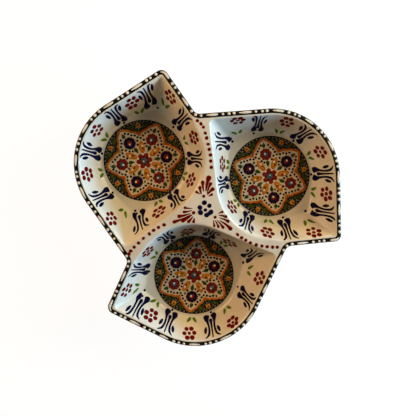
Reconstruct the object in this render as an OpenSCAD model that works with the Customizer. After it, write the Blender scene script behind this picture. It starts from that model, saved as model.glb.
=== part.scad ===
// Divided serving bowl of glazed earthenware.
// One clay casting holds three lobed wells, parted by flat ridges that meet at the
// middle and run out to the valleys of a pinwheel outline. Relief enamels lie on it:
// a beaded band round the rim, dots and sprays along the ridges, and a medallion on
// the floor of each well. A bare foot ring stands under each well.
// Millimetres, +Z up, origin on the table below the middle of the outline.

/* [Casting] */
// Height of the rim's crest above the table
rim_h = 42; // [34:1:56]
// Height of the foot rings
foot_h = 4; // [2:0.5:7]
// Thickness of the floor of a well
floor_t = 5; // [4:0.5:8]
// Width of the rim from its outside to the top of a well's wall
lip_w = 5.4; // [4.8:0.1:6.6]
// Height of the rim's upright outer side
lip_h = 4.6; // [4:0.1:6]
// Radius of the rim's outer edge
edge_r = 1.8; // [1.2:0.1:2.2]
// Length of the rounding where a wall turns into the rim
shoulder_r = 1.4; // [0.8:0.1:1.8]
// Length of the rounding where a wall turns into a ridge
ridge_shoulder_r = 3; // [1.4:0.1:3.6]
// Length of the rounding where a wall turns into the floor
crease_r = 2.5; // [1:0.1:2.7]
// Thickness of the ridges between the wells
web_t = 7; // [5:0.5:10]
// Thickness of a wall where it hangs from a ridge
wall_t = 5; // [3.5:0.1:6]
// Thickness of a wall where it meets the floor
base_t = 3; // [2:0.1:4.5]

/* [Outline] */
// Angle of the right-hand well's axis from the X axis
well_turn = 23; // [0:1:60]
// Distance of a valley's corner from the bowl's axis
valley_reach = 86.5; // [80:0.5:94]
// Radius in a valley
valley_r = 7.4; // [4:0.2:11]
// Distance of a lobe's unrounded corner from the bowl's axis
lobe_reach = 157; // [148:1:168]
// Radius of a lobe
lobe_r = 64; // [54:1:70]
// Distance of a tip's unrounded corner from the bowl's axis
tip_reach = 133.5; // [125:0.5:142]
// Radius of a tip
tip_r = 6.6; // [5.4:0.1:9]

/* [Wells] */
// Distance of a well's middle from the bowl's axis
well_reach = 71; // [69:0.5:73]
// Radius of the hollow side of a well, which faces the bowl's axis
hollow_r = 54; // [48:1:60]
// Distance of the hollow side's unrounded corner from the bowl's axis
hollow_reach = 25.8; // [24:0.2:28]
// Distance of a well's tail corner from the valley, along the rim
tail_gap = 15; // [12:0.5:20]
// Radius of a well's tail corner
tail_r = 5; // [3:0.5:8]
// Radius of a well's corner at a tip
brim_tip_r = 4; // [2.5:0.5:7]
// Radius of a well's blunt corner at a valley
brim_valley_r = 12; // [6:1:18]
// How far from the valley a ridge keeps its first direction
bow_reach = 22.5; // [16:0.5:28]
// Distance from the bowl's axis within which a ridge runs straight to it
root_reach = 40; // [30:1:46]
// Horizontal run of a steep wall, from the floor to the rim
wall_run = 12; // [8:0.5:16]

/* [Foot rings] */
// Distance from the edge of a well's floor in to its foot ring
foot_gap = 6; // [4:0.5:10]
// Width of a foot ring
foot_w = 5; // [3.5:0.5:8]
// Bevel of a foot ring's standing edges
foot_bevel = 1; // [0.5:0.1:1.5]

/* [Rim enamel] */
// Thickness of the fired enamel
enamel_t = 0.4; // [0.3:0.05:0.6]
// Depth of the band on the rim's outer side
band_drop = 3.6; // [2.8:0.1:3.9]
// Length of the band that three beads and a dash take
group_pitch = 30.5; // [26:0.5:40]
// Distance between neighbouring beads in a group of three
bead_pitch = 5.1; // [3.6:0.1:6]
// Radius of a bead
bead_r = 1.1; // [0.8:0.05:1.3]
// Height of a bead
bead_h = 0.5; // [0.3:0.05:0.8]
// Length of the dash between two groups of beads
dash_l = 10.5; // [7:0.5:12]
// Width of a dash
dash_w = 1.6; // [1:0.1:2]

/* [Ridge enamel] */
// Radius of a dot on a ridge
ridge_dot_r = 1.3; // [1:0.1:1.8]
// Distance between neighbouring dots on a ridge
ridge_dot_pitch = 5.2; // [4.6:0.1:7]
// Distance of the sprays' base dots from the bowl's axis
spray_reach = 13.6; // [12.5:0.1:15]
// Length of a spray's middle stroke
spray_l = 19; // [14:0.5:21]
// Width of a spray's strokes
spray_w = 2.6; // [2:0.1:3]
// Radius of the ring of dots at the bowl's axis
rosette_r = 5.6; // [4.8:0.1:6.4]
// Radius of a dot in that ring
rosette_dot_r = 2.1; // [1.4:0.1:2.3]

/* [Medallions] */
// Radius of a medallion
medallion_r = 39.3; // [36:0.3:42]
// Clear floor between a medallion and the wall
floor_margin = 2.7; // [2.7:0.1:5]
// Width of the star's outline
star_line_w = 2.3; // [1.6:0.1:3]
// Radius of a flower
flower_r = 5.6; // [4.4:0.1:6.2]
// Radius of a flower's eye
eye_r = 2.5; // [1.8:0.1:3.2]
// Length of an almond petal
petal_l = 12; // [9:0.5:13]
// Width of an almond petal
petal_w = 5.6; // [4:0.2:6]
// Radius of the boss in the middle
boss_r = 3.2; // [2:0.1:3.6]
// Width of the ring of red petals round the boss
ruff_w = 4; // [2.5:0.1:4.4]
// Radius of a floweret in a notch of the star
floweret_r = 2.4; // [1.6:0.1:2.8]
// Length of a leaf
leaf_l = 5.4; // [4:0.2:6]
// Width of a leaf
leaf_w = 2.6; // [1.6:0.1:3]
// Space between a leaf and its flower
leaf_gap = 0.2; // [0.1:0.1:0.8]
// Turn of the right, left and front medallions from their wells' axes
medallion_turns = [18, -13, 1];

/* [Hidden] */

// Angle from one well to the next
third = 120;
// Angles of the outline's corners from their well's axis
valley_turn = 72.1;
lobe_turn = 15.1;
tip_turn = -36.7;
hollow_turn = -73;
// How far a ridge leans from the straight way in to the axis where it leaves the valley
bow_lean = 39;
// Angles at which a ridge and its spray run in to the axis
root_turn = 53;
spray_turn = 57;
// How much of a well's extra reach its floor follows
floor_follow_share = 0.38;
// Where the outer wall's first ring lies between the rim and the foot of the wall
wall_ring_share = 0.12;
// Most of the way to the ridge's middle that a wall's thickness may take
wall_limit_share = 0.8;
// Steps in which the rounding beside the rim turns into the one beside a ridge
shoulder_steps = 4;
// Most of the flat top that the shoulder may take
shoulder_limit_share = 0.6;
// Bevel under the rim's outer side, as a share of its edge radius
under_bevel_share = 0.35;

floor_z = foot_h + floor_t;
web_z = rim_h - web_t;
floor_r = medallion_r + floor_margin;
foot_r = floor_r - foot_gap;
band_w = lip_w - shoulder_r;
base_bevel = floor_t / 2;

// Steps along the outline: half a valley, the straights and the arcs between them
n_valley = 4;
n_to_tip = 6;
n_tip = 8;
n_to_lobe = 6;
n_lobe = 22;
n_to_tail = 6;
n_tail = 2;
// Steps along a well's edge beside the ridges
n_upper = 8;
n_hollow = 12;
n_lower = 4;
n_rise = 3;
n_outline = 2 * n_valley + n_to_tip + n_tip + n_to_lobe + n_lobe + n_to_tail + n_tail;
n_ridge = (n_upper + n_hollow + n_lower) / 2;
n_loop = n_outline + 2 * n_ridge;

function polar(r, a) = [r * cos(a), r * sin(a)];
function turned(p, a) = [p.x * cos(a) - p.y * sin(a), p.x * sin(a) + p.y * cos(a)];
function unit(v) = v / norm(v);
function blend(a, b, t) = a + (b - a) * t;
function last(l) = l[len(l) - 1];
function between(a, b, n) = [for (i = [1:n - 1]) blend(a, b, i / n)];
function bend2(a, b, c, t) = blend(blend(a, b, t), blend(b, c, t), t);
function bend3(a, b, c, d, t) = blend(bend2(a, b, c, t), bend2(b, c, d, t), t);
function at_z(p, z) = [p.x, p.y, z];

// A corner q between p and s: which way it turns, half its angle, and its bisector
function turn_of(p, q, s) = sign((q - p).x * (s - q).y - (q - p).y * (s - q).x);
function half_of(p, q, s) = acos(unit(p - q) * unit(s - q)) / 2;
function bisector(p, q, s) = unit(unit(p - q) + unit(s - q));
// The same corner once both its sides have moved inwards by d
function inset(p, q, s, d) = q + turn_of(p, q, s) * bisector(p, q, s) * d / sin(half_of(p, q, s));
// The corner rounded to radius r in n steps
function rounded(p, q, s, r, n) =
    let (
        half = half_of(p, q, s),
        middle = q + bisector(p, q, s) * r / sin(half),
        first = q + unit(p - q) * r / tan(half) - middle,
        start = atan2(first.y, first.x),
        sweep = turn_of(p, q, s) * (180 - 2 * half)
    )
    [for (i = [0:n]) middle + polar(r, start + sweep * i / n)];
function foot_point(p, a, b) = a + unit(b - a) * ((p - a) * unit(b - a));

// Corners of the outline beside one well, whose axis is +X here
valley = polar(valley_reach, valley_turn);
lobe = polar(lobe_reach, lobe_turn);
tip = polar(tip_reach, tip_turn);
low_valley = turned(valley, -third);
low_lobe = turned(lobe, -third);
next_tip = turned(tip, third);
well = [well_reach, 0];

// The well's own edge at the top of its wall
brim_valley = inset(low_lobe, low_valley, tip, lip_w);
brim_tip = inset(low_valley, tip, lobe, lip_w);
brim_lobe = inset(tip, lobe, valley, lip_w);
brim_tail = let (v = inset(lobe, valley, next_tip, lip_w)) v + unit(brim_lobe - v) * tail_gap;
hollow = polar(hollow_reach, hollow_turn);
brim =
    let (
        a = rounded(hollow, brim_valley, brim_tip, brim_valley_r, n_valley),
        b = rounded(brim_valley, brim_tip, brim_lobe, brim_tip_r, n_tip),
        c = rounded(brim_tip, brim_lobe, brim_tail, lobe_r - lip_w, n_lobe),
        d = rounded(brim_lobe, brim_tail, hollow, tail_r, n_tail + n_valley),
        e = rounded(brim_tail, hollow, brim_valley, hollow_r, n_hollow)
    )
    concat(
        a, between(last(a), b[0], n_to_tip),
        b, between(last(b), c[0], n_to_lobe),
        c, between(last(c), d[0], n_to_tail),
        d, between(last(d), e[0], n_upper),
        e, between(last(e), a[0], n_lower)
    );
tail_start = brim[n_valley + n_to_tip + n_tip + n_to_lobe + n_lobe + n_to_tail];

// One third of the outline, moved inwards by d, from valley to valley
function outline_third(d) =
    let (
        l0 = inset(turned(tip, -third), low_lobe, low_valley, d),
        v0 = inset(low_lobe, low_valley, tip, d),
        t0 = inset(low_valley, tip, lobe, d),
        l1 = inset(tip, lobe, valley, d),
        v1 = inset(lobe, valley, next_tip, d),
        t1 = inset(valley, next_tip, turned(lobe, third), d),
        a = rounded(l0, v0, t0, valley_r + d, 2 * n_valley),
        b = rounded(v0, t0, l1, tip_r - d, n_tip),
        c = rounded(t0, l1, v1, lobe_r - d, n_lobe),
        e = rounded(l1, v1, t1, valley_r + d, 2 * n_valley),
        tail = foot_point(tail_start, last(c), e[0])
    )
    concat(
        [for (i = [n_valley:2 * n_valley]) a[i]], between(last(a), b[0], n_to_tip),
        b, between(last(b), c[0], n_to_lobe),
        c, between(last(c), tail, n_to_tail),
        [tail], between(tail, e[0], n_tail),
        [for (i = [0:n_valley - 1]) e[i]]
    );
function outline(d) = [for (k = [0:2]) for (p = outline_third(d)) turned(p, well_turn + third * k)];

// The outline's middle goes to the origin
outer = outline(0);
shift = -[
    min([for (p = outer) p.x]) + max([for (p = outer) p.x]),
    min([for (p = outer) p.y]) + max([for (p = outer) p.y])
] / 2;
function placed(p, k) = turned([p.x, p.y], well_turn + third * k) + shift;
function ring_at(d, z) = [for (p = outline(d)) at_z(p + shift, z)];

// The ridges' middle line, from the valley in to the bowl's axis
crest_third = outline_third(edge_r);
ridge_end = turned(crest_third[0], third);
ridge_bow = ridge_end - polar(bow_reach, valley_turn + bow_lean);
ridge_root = polar(root_reach, root_turn);
function ridge_at(t) = bend3(ridge_end, ridge_bow, ridge_root, [0, 0], t);
ridge = [for (i = [1:n_ridge - 1]) ridge_at(i / n_ridge)];

// What each point of the brim faces: the outline, then the ridges
facing = concat(
    crest_third,
    [ridge_end], ridge,
    [[0, 0]],
    [for (i = [n_ridge - 2:-1:0]) turned(ridge[i], -third)]
);

// Distance from a well's middle to the edge of its floor, for a brim that far out
function floor_reach(d) = floor_r + floor_follow_share * max(0, d - floor_r - wall_run);

// Length of the rounding at the top of the wall, at each point of the brim
function shoulder_at(j) =
    let (past = max(0, min(j - n_outline, n_loop - j)))
    blend(shoulder_r, ridge_shoulder_r, min(1, past / shoulder_steps));

// Rings of one well, from its floor up its wall to the flat top
function well_ring(k, row) = [
    for (j = [0:n_loop - 1])
        let (
            b = brim[j],
            out = unit(b - well),
            edge = at_z(well + out * floor_reach(norm(b - well)), floor_z),
            top = at_z(b, rim_h),
            up = unit(top - edge),
            inner = edge - at_z(out, 0) * min(crease_r, floor_margin),
            away = facing[j] - b,
            round = shoulder_at(j),
            lip = top + at_z(unit(away), 0) * min(round, norm(away) * shoulder_limit_share),
            p = row <= n_rise
                ? bend2(inner, edge, edge + up * crease_r, row / n_rise)
                : bend2(top - up * round, top, lip, (row - n_rise - 1) / n_rise)
        )
        at_z(placed(p, k), p.z)
];

// Rings under one well, from the rim in to the floor's underside
function under_ring(k, row) = [
    for (j = [0:n_loop - 1])
        let (
            b = brim[j],
            out = unit(b - well),
            reach = floor_reach(norm(b - well)) + base_t,
            foot = at_z(well + out * reach, foot_h + base_bevel),
            away = facing[j] - b,
            hung = at_z(b + unit(away) * min(wall_t, norm(away) * wall_limit_share), web_z),
            side = blend(at_z(under_third[min(j, n_outline)], rim_h - lip_h), foot, wall_ring_share),
            p = row == 0 ? (j <= n_outline ? side : hung)
                : row == 1 ? foot
                : at_z(well + out * (reach - base_bevel), foot_h)
        )
        at_z(placed(p, k), p.z)
];
under_bevel = edge_r * under_bevel_share;
under_third = concat(outline_third(under_bevel), [turned(outline_third(under_bevel)[0], third)]);

// Two rings of point numbers joined by triangles, outwards over the top and back below
function strip(a, b) = [
    for (j = [0:len(a) - 1])
        let (n = (j + 1) % len(a))
        each [[a[j], a[n], b[n]], [a[j], b[n], b[j]]]
];
function numbers(start, n) = [for (i = [0:n - 1]) start + i];

// The numbers of the points round one well that it shares with its neighbours
function shared(k, rim_start, ridge_start, axis) = [
    for (j = [0:n_loop - 1])
        j <= n_outline
            ? rim_start + (k * n_outline + j) % (3 * n_outline)
            : j < n_outline + n_ridge
                ? ridge_start + k * (n_ridge - 1) + j - n_outline - 1
                : j == n_outline + n_ridge
                    ? axis
                    : ridge_start + ((k + 2) % 3) * (n_ridge - 1) + n_loop - j - 1
];

// The rim's rounded outer edge: how far in, and how high, each step of it lies
edge_steps = [
    for (i = [0:n_rise])
        let (a = 90 * i / n_rise)
        [edge_r * (1 - sin(a)), edge_r * (1 - cos(a))]
];

module clay_body() {
    rows_top = 2 * n_rise + 2;
    rows_under = 3;
    per_well = n_loop * (rows_top + rows_under) + 2;
    rims = concat(
        [for (s = edge_steps) ring_at(s[0], rim_h - s[1])],
        [ring_at(0, rim_h - band_drop)],
        [ring_at(under_bevel, rim_h - lip_h)]
    );
    wells = [
        for (k = [0:2])
            each concat(
                [at_z(placed(well, k), floor_z), at_z(placed(well, k), foot_h)],
                [for (row = [0:rows_top - 1]) each well_ring(k, row)],
                [for (row = [0:rows_under - 1]) each under_ring(k, row)]
            )
    ];
    rim_0 = 3 * per_well;
    n_rim = 3 * n_outline;
    ridge_0 = rim_0 + n_rim * len(rims);
    ridge_1 = ridge_0 + 3 * (n_ridge - 1);
    axis_0 = ridge_1 + 3 * (n_ridge - 1);
    points = concat(
        wells,
        [for (r = rims) each r],
        [for (z = [rim_h, web_z]) for (k = [0:2]) for (p = ridge) at_z(placed(p, k), z)],
        [for (z = [rim_h, web_z]) at_z(shift, z)]
    );
    faces = concat(
        [
            for (k = [0:2])
                let (
                    start = k * per_well,
                    rows = [for (r = [0:rows_top + rows_under - 1]) numbers(start + 2 + r * n_loop, n_loop)],
                    above = shared(k, rim_0, ridge_0, axis_0),
                    below = shared(k, rim_0 + n_rim * (len(rims) - 1), ridge_1, axis_0 + 1)
                )
                each concat(
                    [for (j = [0:n_loop - 1]) [start, rows[0][(j + 1) % n_loop], rows[0][j]]],
                    [for (r = [0:rows_top - 2]) each strip(rows[r], rows[r + 1])],
                    strip(rows[rows_top - 1], above),
                    strip(below, rows[rows_top]),
                    [for (r = [rows_top:rows_top + rows_under - 2]) each strip(rows[r], rows[r + 1])],
                    [
                        for (j = [0:n_loop - 1])
                            let (l = last(rows)) [l[j], l[(j + 1) % n_loop], start + 1]
                    ]
                )
        ],
        [
            for (r = [0:len(rims) - 2])
                each strip(numbers(rim_0 + r * n_rim, n_rim), numbers(rim_0 + (r + 1) * n_rim, n_rim))
        ]
    );
    color("ivory") polyhedron(points = points, faces = faces);
}

module foot_ring(k) {
    p = placed(well, k);
    color("tan")
        translate([p.x, p.y, 0])
            rotate_extrude($fn = 96)
                polygon([
                    [foot_r - foot_w, foot_h],
                    [foot_r - foot_w, foot_bevel],
                    [foot_r - foot_w + foot_bevel, 0],
                    [foot_r - foot_bevel, 0],
                    [foot_r, foot_bevel],
                    [foot_r, foot_h]
                ]);
}

module rim_band() {
    rows = concat(
        [ring_at(band_w, rim_h)],
        [for (s = edge_steps) ring_at(s[0], rim_h - s[1])],
        [ring_at(0, rim_h - band_drop)],
        [ring_at(-enamel_t, rim_h - band_drop)],
        [
            for (i = [n_rise:-1:0])
                let (s = edge_steps[i] * (edge_r + enamel_t) / edge_r)
                ring_at(s[0] - enamel_t, rim_h + enamel_t - s[1])
        ],
        [ring_at(band_w - enamel_t / 2, rim_h + enamel_t)]
    );
    n = 3 * n_outline;
    faces = [
        for (r = [0:len(rows) - 1])
            each strip(numbers(((r + 1) % len(rows)) * n, n), numbers(r * n, n))
    ];
    color("black") polyhedron(points = [for (r = rows) each r], faces = faces);
}

// How far along a line each of its points lies
function lengths(line) = [
    for (i = 0, s = 0; i < len(line); s = s + norm(line[min(i + 1, len(line) - 1)] - line[i]), i = i + 1)
        s
];

// The middle of the band as a road of known length
road = let (o = ring_at(band_w / 2, 0)) concat(o, [o[0]]);
road_l = lengths(road);
road_x = [for (i = [0:len(road) - 1]) [road_l[i], road[i].x]];
road_y = [for (i = [0:len(road) - 1]) [road_l[i], road[i].y]];
function on_road(s) =
    let (once_round = s - last(road_l) * floor(s / last(road_l)))
    [lookup(once_round, road_x), lookup(once_round, road_y)];

n_dash = 5;
// A dash whose middle lies at s on the band and which bends with it
function dash_at(s) =
    let (
        sides = [
            for (way = [-1, 1])
                [
                    for (i = [-n_dash:n_dash])
                        let (
                            place = s + dash_l / 2 * i / n_dash,
                            ahead = unit(on_road(place + bead_r) - on_road(place - bead_r))
                        )
                        on_road(place) + [ahead.y, -ahead.x] * way * dash_w / 2 * cos(90 * i / n_dash)
                ]
        ]
    )
    concat(sides[1], [for (i = [2 * n_dash - 1:-1:1]) sides[0][i]]);

// A raised drop of enamel
module drop(r, h) {
    rotate_extrude($fn = 24)
        polygon([[0, 0], [r, 0], [r, h / 3], [r * cos(45), h * sin(60)], [0, h]]);
}

// Groups of three beads, with a dash along the band between the groups
module rim_beads() {
    groups = round(last(road_l) / group_pitch);
    pitch = last(road_l) / groups;
    color("white")
        for (i = [0:groups - 1]) {
            for (j = [-1:1]) {
                p = on_road(i * pitch + j * bead_pitch);
                translate([p.x, p.y, rim_h + enamel_t])
                    drop(bead_r, bead_h);
            }
            translate([0, 0, rim_h + enamel_t])
                linear_extrude(height = bead_h / 2)
                    polygon(dash_at((i + 1 / 2) * pitch));
        }
}

// The dots run from the valley in to the spray
ridge_line = [for (i = [0:4 * n_ridge]) ridge_at(i / (4 * n_ridge))];
ridge_l = lengths(ridge_line);
ridge_x = [for (i = [0:4 * n_ridge]) [ridge_l[i], ridge_line[i].x]];
ridge_y = [for (i = [0:4 * n_ridge]) [ridge_l[i], ridge_line[i].y]];

module ridge_dots() {
    first = band_w + ridge_dot_r;
    room = last(ridge_l) - spray_reach - spray_l - ridge_dot_pitch / 2 - ridge_dot_r - first;
    count = floor(room / ridge_dot_pitch);
    color("darkred")
        for (k = [0:2])
            for (i = [0:count]) {
                s = first + i * ridge_dot_pitch;
                p = placed([lookup(s, ridge_x), lookup(s, ridge_y)], k);
                translate([p.x, p.y, rim_h])
                    drop(ridge_dot_r, enamel_t);
            }
}

// Widths of a stroke's fine end and waist, and where the waist lies, as shares
stroke_end_share = 0.12;
stroke_waist_share = 0.26;
stroke_waist_place_share = 0.3;

// A stroke from a fine end at the origin to a round end l along X
module stroke(l, w) {
    waist = [l * stroke_waist_place_share, w * stroke_waist_share];
    end = [0, w * stroke_end_share];
    polygon([
        for (a = [-90:22.5:90]) [l - w / 2 + w / 2 * cos(a), w / 2 * sin(a)],
        waist, end, [end.x, -end.y], [waist.x, -waist.y]
    ]);
}

// Angles of a spray's strokes from its middle one, and their lengths as shares of it
spray_turns = [-72, -42, -18, 0, 18, 42, 72];
spray_shares = [0.38, 0.52, 0.66, 1, 0.66, 0.52, 0.38];
// Where a spray's strokes start, in radii of its base dot
spray_start_share = 2.2;

module centre_sprays() {
    base_r = spray_w / 2;
    color("darkred")
        for (k = [0:2]) {
            p = placed(polar(spray_reach, spray_turn), k);
            start = base_r * spray_start_share;
            translate([p.x, p.y, rim_h])
                rotate([0, 0, well_turn + spray_turn + third * k]) {
                    drop(base_r, enamel_t);
                    for (i = [0:len(spray_turns) - 1])
                        rotate([0, 0, spray_turns[i]])
                            translate([start, 0, 0])
                                linear_extrude(height = enamel_t)
                                    stroke(spray_l * spray_shares[i] - start, spray_w);
                }
        }
}

// Size of the rosette's middle dot, as a share of the others
rosette_middle_share = 0.85;

module centre_rosette() {
    color("midnightblue")
        translate([shift.x, shift.y, rim_h]) {
            drop(rosette_dot_r * rosette_middle_share, enamel_t);
            for (i = [0:5])
                rotate([0, 0, 60 * i])
                    translate([rosette_r, 0, 0])
                        drop(rosette_dot_r, enamel_t);
        }
}

// Heights of the medallion's layers
ground_z = floor_z + enamel_t;
field_z = ground_z + enamel_t / 2;

// Places and shapes in a medallion, as shares of its radius
star_tip_share = 0.93;
star_kink_share = 0.75;
star_notch_share = 0.63;
star_tip_bulge_share = 0.855;
star_notch_bulge_share = 0.756;
petal_share = 0.335;
floweret_share = 0.89;
// How deep the petals of a flower and of the ruff are cut, as shares of their reach
flower_cut_share = 0.14;
ruff_cut_share = 0.6;
// Angles of the star's kink and bulges from its tip
kink_turn = 16.6;
tip_bulge_turn = 12.5;
notch_bulge_turn = 22.8;

// How much of the spare room between the ruff and the star's line lies inside the leaves
inner_room_share = 0.56;

// The flowers stand between two leaves each, which lie between the ruff and the star's line
ruff_r = boss_r + ruff_w;
flower_room = 2 * (leaf_l + leaf_gap + flower_r);
spare = medallion_r * star_tip_share - star_line_w / 2 - ruff_r - flower_room;
flower_reach = ruff_r + spare * inner_room_share + flower_room / 2;
leaf_offset = flower_r + leaf_gap + leaf_l / 2;

n_star = 3;
// Half a lobe of the star's line, from its tip to its notch
half_lobe = let (r = medallion_r) concat(
    [
        for (i = [0:n_star - 1])
            bend2(
                polar(r * star_tip_share, 0), polar(r * star_tip_bulge_share, tip_bulge_turn),
                polar(r * star_kink_share, kink_turn), i / n_star
            )
    ],
    [
        for (i = [0:n_star])
            bend2(
                polar(r * star_kink_share, kink_turn), polar(r * star_notch_bulge_share, notch_bulge_turn),
                polar(r * star_notch_share, 30), i / n_star
            )
    ]
);
star = [
    for (i = [0:5])
        each concat(
            [for (p = half_lobe) turned(p, 60 * i)],
            [for (j = [2 * n_star - 1:-1:1]) turned([half_lobe[j].x, -half_lobe[j].y], 60 * (i + 1))]
        )
];
// The star's line moved outwards by d
function star_at(d) = [
    for (i = [0:len(star) - 1])
        let (
            n = len(star),
            along = star[(i + 1) % n] - star[(i + n - 1) % n]
        )
        star[i] + unit([along.y, -along.x]) * d
];

// Puts a flat piece of a medallion in its well
module in_medallion(k, z) {
    p = placed(well, k);
    translate([p.x, p.y, z])
        rotate([0, 0, well_turn + third * k + medallion_turns[k]])
            children();
}

module ground(k) {
    color("black")
        in_medallion(k, floor_z)
            cylinder(h = enamel_t, r = medallion_r, $fn = 96);
}

module star_field(k) {
    color("antiquewhite")
        in_medallion(k, ground_z)
            linear_extrude(height = enamel_t / 2)
                polygon(star_at(-star_line_w / 2));
}

module star_line(k) {
    color("darkorange")
        in_medallion(k, ground_z)
            linear_extrude(height = enamel_t)
                difference() {
                    polygon(star_at(star_line_w / 2));
                    polygon(star_at(-star_line_w / 2));
                }
}

// Eight round petals about an open eye
module flower_outline(r) {
    polygon([for (a = [0:15:345]) polar(r * (1 - flower_cut_share * (1 + cos(8 * a)) / 2), a)]);
}

module flowers(k, first) {
    in_medallion(k, field_z)
        for (i = [0:2])
            rotate([0, 0, first + 120 * i])
                translate([flower_reach, 0, 0])
                    linear_extrude(height = enamel_t)
                        difference() {
                            flower_outline(flower_r);
                            circle(r = eye_r, $fn = 24);
                        }
}

// Two arcs that meet in points, l long and w wide
module almond(l, w) {
    r = (l * l / 4 + w * w / 4) / w;
    half = asin(l / 2 / r);
    polygon(concat(
        [for (i = [-3:3]) polar(r, half * i / 3 + 90) - [0, r - w / 2]],
        [for (i = [-2:2]) polar(r, half * i / 3 - 90) + [0, r - w / 2]]
    ));
}

module almond_petals(k) {
    color("orange")
        in_medallion(k, field_z)
            for (i = [0:5])
                rotate([0, 0, 60 * i + 30])
                    translate([medallion_r * petal_share, 0, 0])
                        linear_extrude(height = enamel_t)
                            almond(petal_l, petal_w);
}

module leaves(k) {
    color("darkolivegreen")
        in_medallion(k, field_z)
            for (i = [0:5])
                rotate([0, 0, 60 * i])
                    for (side = [-1, 1])
                        translate([flower_reach + side * leaf_offset, 0, 0])
                            linear_extrude(height = enamel_t)
                                almond(leaf_l, leaf_w);
}

// The boss with its ruff, the flowers' eyes and the flowerets in the notches
module bosses(k) {
    color("lightsteelblue")
        in_medallion(k, field_z) {
            drop(boss_r, enamel_t * 2);
            for (i = [0:5])
                rotate([0, 0, 60 * i])
                    translate([flower_reach, 0, 0])
                        drop(eye_r, enamel_t * 2);
        }
    color("orange")
        in_medallion(k, ground_z)
            for (i = [0:5])
                rotate([0, 0, 60 * i + 30])
                    translate([medallion_r * floweret_share, 0, 0])
                        drop(floweret_r, enamel_t);
    color("firebrick")
        in_medallion(k, field_z)
            linear_extrude(height = enamel_t)
                difference() {
                    polygon([
                        for (a = [0:10:350])
                            polar(boss_r + ruff_w * (1 - ruff_cut_share * (1 - cos(6 * a)) / 2), a)
                    ]);
                    circle(r = boss_r, $fn = 24);
                }
}

clay_body();
foot_ring(0);  // foot_ring_right
foot_ring(1);  // foot_ring_left
foot_ring(2);  // foot_ring_front
rim_band();
rim_beads();
ridge_dots();
centre_sprays();
centre_rosette();
ground(0);  // ground_right
ground(1);  // ground_left
ground(2);  // ground_front
star_field(0);  // star_field_right
star_field(1);  // star_field_left
star_field(2);  // star_field_front
star_line(0);  // star_line_right
star_line(1);  // star_line_left
star_line(2);  // star_line_front
color("firebrick") flowers(0, 60);  // red_flowers_right
color("firebrick") flowers(1, 60);  // red_flowers_left
color("firebrick") flowers(2, 60);  // red_flowers_front
color("midnightblue") flowers(0, 0);  // navy_flowers_right
color("midnightblue") flowers(1, 0);  // navy_flowers_left
color("midnightblue") flowers(2, 0);  // navy_flowers_front
almond_petals(0);  // almond_petals_right
almond_petals(1);  // almond_petals_left
almond_petals(2);  // almond_petals_front
leaves(0);  // leaves_right
leaves(1);  // leaves_left
leaves(2);  // leaves_front
bosses(0);  // bosses_right
bosses(1);  // bosses_left
bosses(2);  // bosses_front
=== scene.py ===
"""A divided serving bowl: glazed earthenware with raised enamel ornament.

Three lobed wells in one casting, parted by flat ridges. Brushed tulips, petal
rosettes and leaves run round each well's wall, a star medallion lies on its floor,
and a dotted black band follows the rim.
"""
import math

import bmesh
import bpy
import numpy as np
from bpy.props import FloatProperty, FloatVectorProperty, IntProperty, PointerProperty
from mathutils import Matrix, Vector


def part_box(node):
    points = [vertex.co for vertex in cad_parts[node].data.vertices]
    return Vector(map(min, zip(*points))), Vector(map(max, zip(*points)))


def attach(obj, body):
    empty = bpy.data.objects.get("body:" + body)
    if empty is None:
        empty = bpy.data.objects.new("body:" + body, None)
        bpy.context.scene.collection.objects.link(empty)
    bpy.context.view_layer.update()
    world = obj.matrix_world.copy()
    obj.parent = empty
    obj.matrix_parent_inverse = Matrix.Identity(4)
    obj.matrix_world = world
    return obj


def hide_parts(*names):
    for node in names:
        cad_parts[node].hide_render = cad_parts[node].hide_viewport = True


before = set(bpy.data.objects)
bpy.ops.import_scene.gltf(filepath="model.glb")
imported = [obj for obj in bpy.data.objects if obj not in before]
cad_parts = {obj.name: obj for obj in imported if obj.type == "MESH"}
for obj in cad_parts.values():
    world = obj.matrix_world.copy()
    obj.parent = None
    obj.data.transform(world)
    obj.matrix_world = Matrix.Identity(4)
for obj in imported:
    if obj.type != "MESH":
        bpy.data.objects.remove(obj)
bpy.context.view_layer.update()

bl_info = {
    "name": "Divided serving bowl",
    "version": (1, 0, 0),
    "blender": (4, 5, 0),
    "location": "3D View > Sidebar > Bowl",
    "description": "Dresses the divided bowl with its glaze, enamels and studio",
    "category": "Add Mesh",
}

MM = 0.001
WELLS = ("right", "left", "front")


def box_mm(node):
    """Lowest and highest corner of a solid, in millimetres."""
    low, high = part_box(node)
    return np.array(low) / MM, np.array(high) / MM


GROUNDS = [box_mm("ground_" + well) for well in WELLS]
CENTRES = np.array([((low + high) / 2)[:2] for low, high in GROUNDS])
AXIS = CENTRES.mean(0)
WELL_REACH = float(np.linalg.norm(CENTRES[0] - AXIS))
WELL_TURN = math.degrees(math.atan2(*(CENTRES[0] - AXIS)[::-1]))
MEDALLION_R = float((GROUNDS[0][1] - GROUNDS[0][0])[0] / 2)
FLOOR_Z = float(GROUNDS[0][0][2])
ENAMEL = float(GROUNDS[0][1][2]) - FLOOR_Z
RIM_Z = float(box_mm("clay_body")[1][2])
FOOT_Z = float(box_mm("foot_ring_right")[1][2])

# The casting's sizes in millimetres and degrees, as the solids have them
THIRD = 120.0
LIP_W = 5.4                # across the rim's top
LIP_H = 4.6                # down the rim's outer side
EDGE_R = 1.8               # round the rim's outer edge
UNDER_BEVEL = EDGE_R * 0.35
SHOULDER_R = 1.4           # from the rim's top into a well
RIDGE_SHOULDER_R = 3.0     # from a ridge's top into a well
CREASE_R = 2.5             # from a wall into the floor
WALL_T, WEB_T = 5.0, 7.0   # a wall beside a ridge, and the clay under the ridge's top
BASE_T, BASE_BEVEL = 3.0, 2.5
FLOOR_R = MEDALLION_R + 2.7
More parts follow.
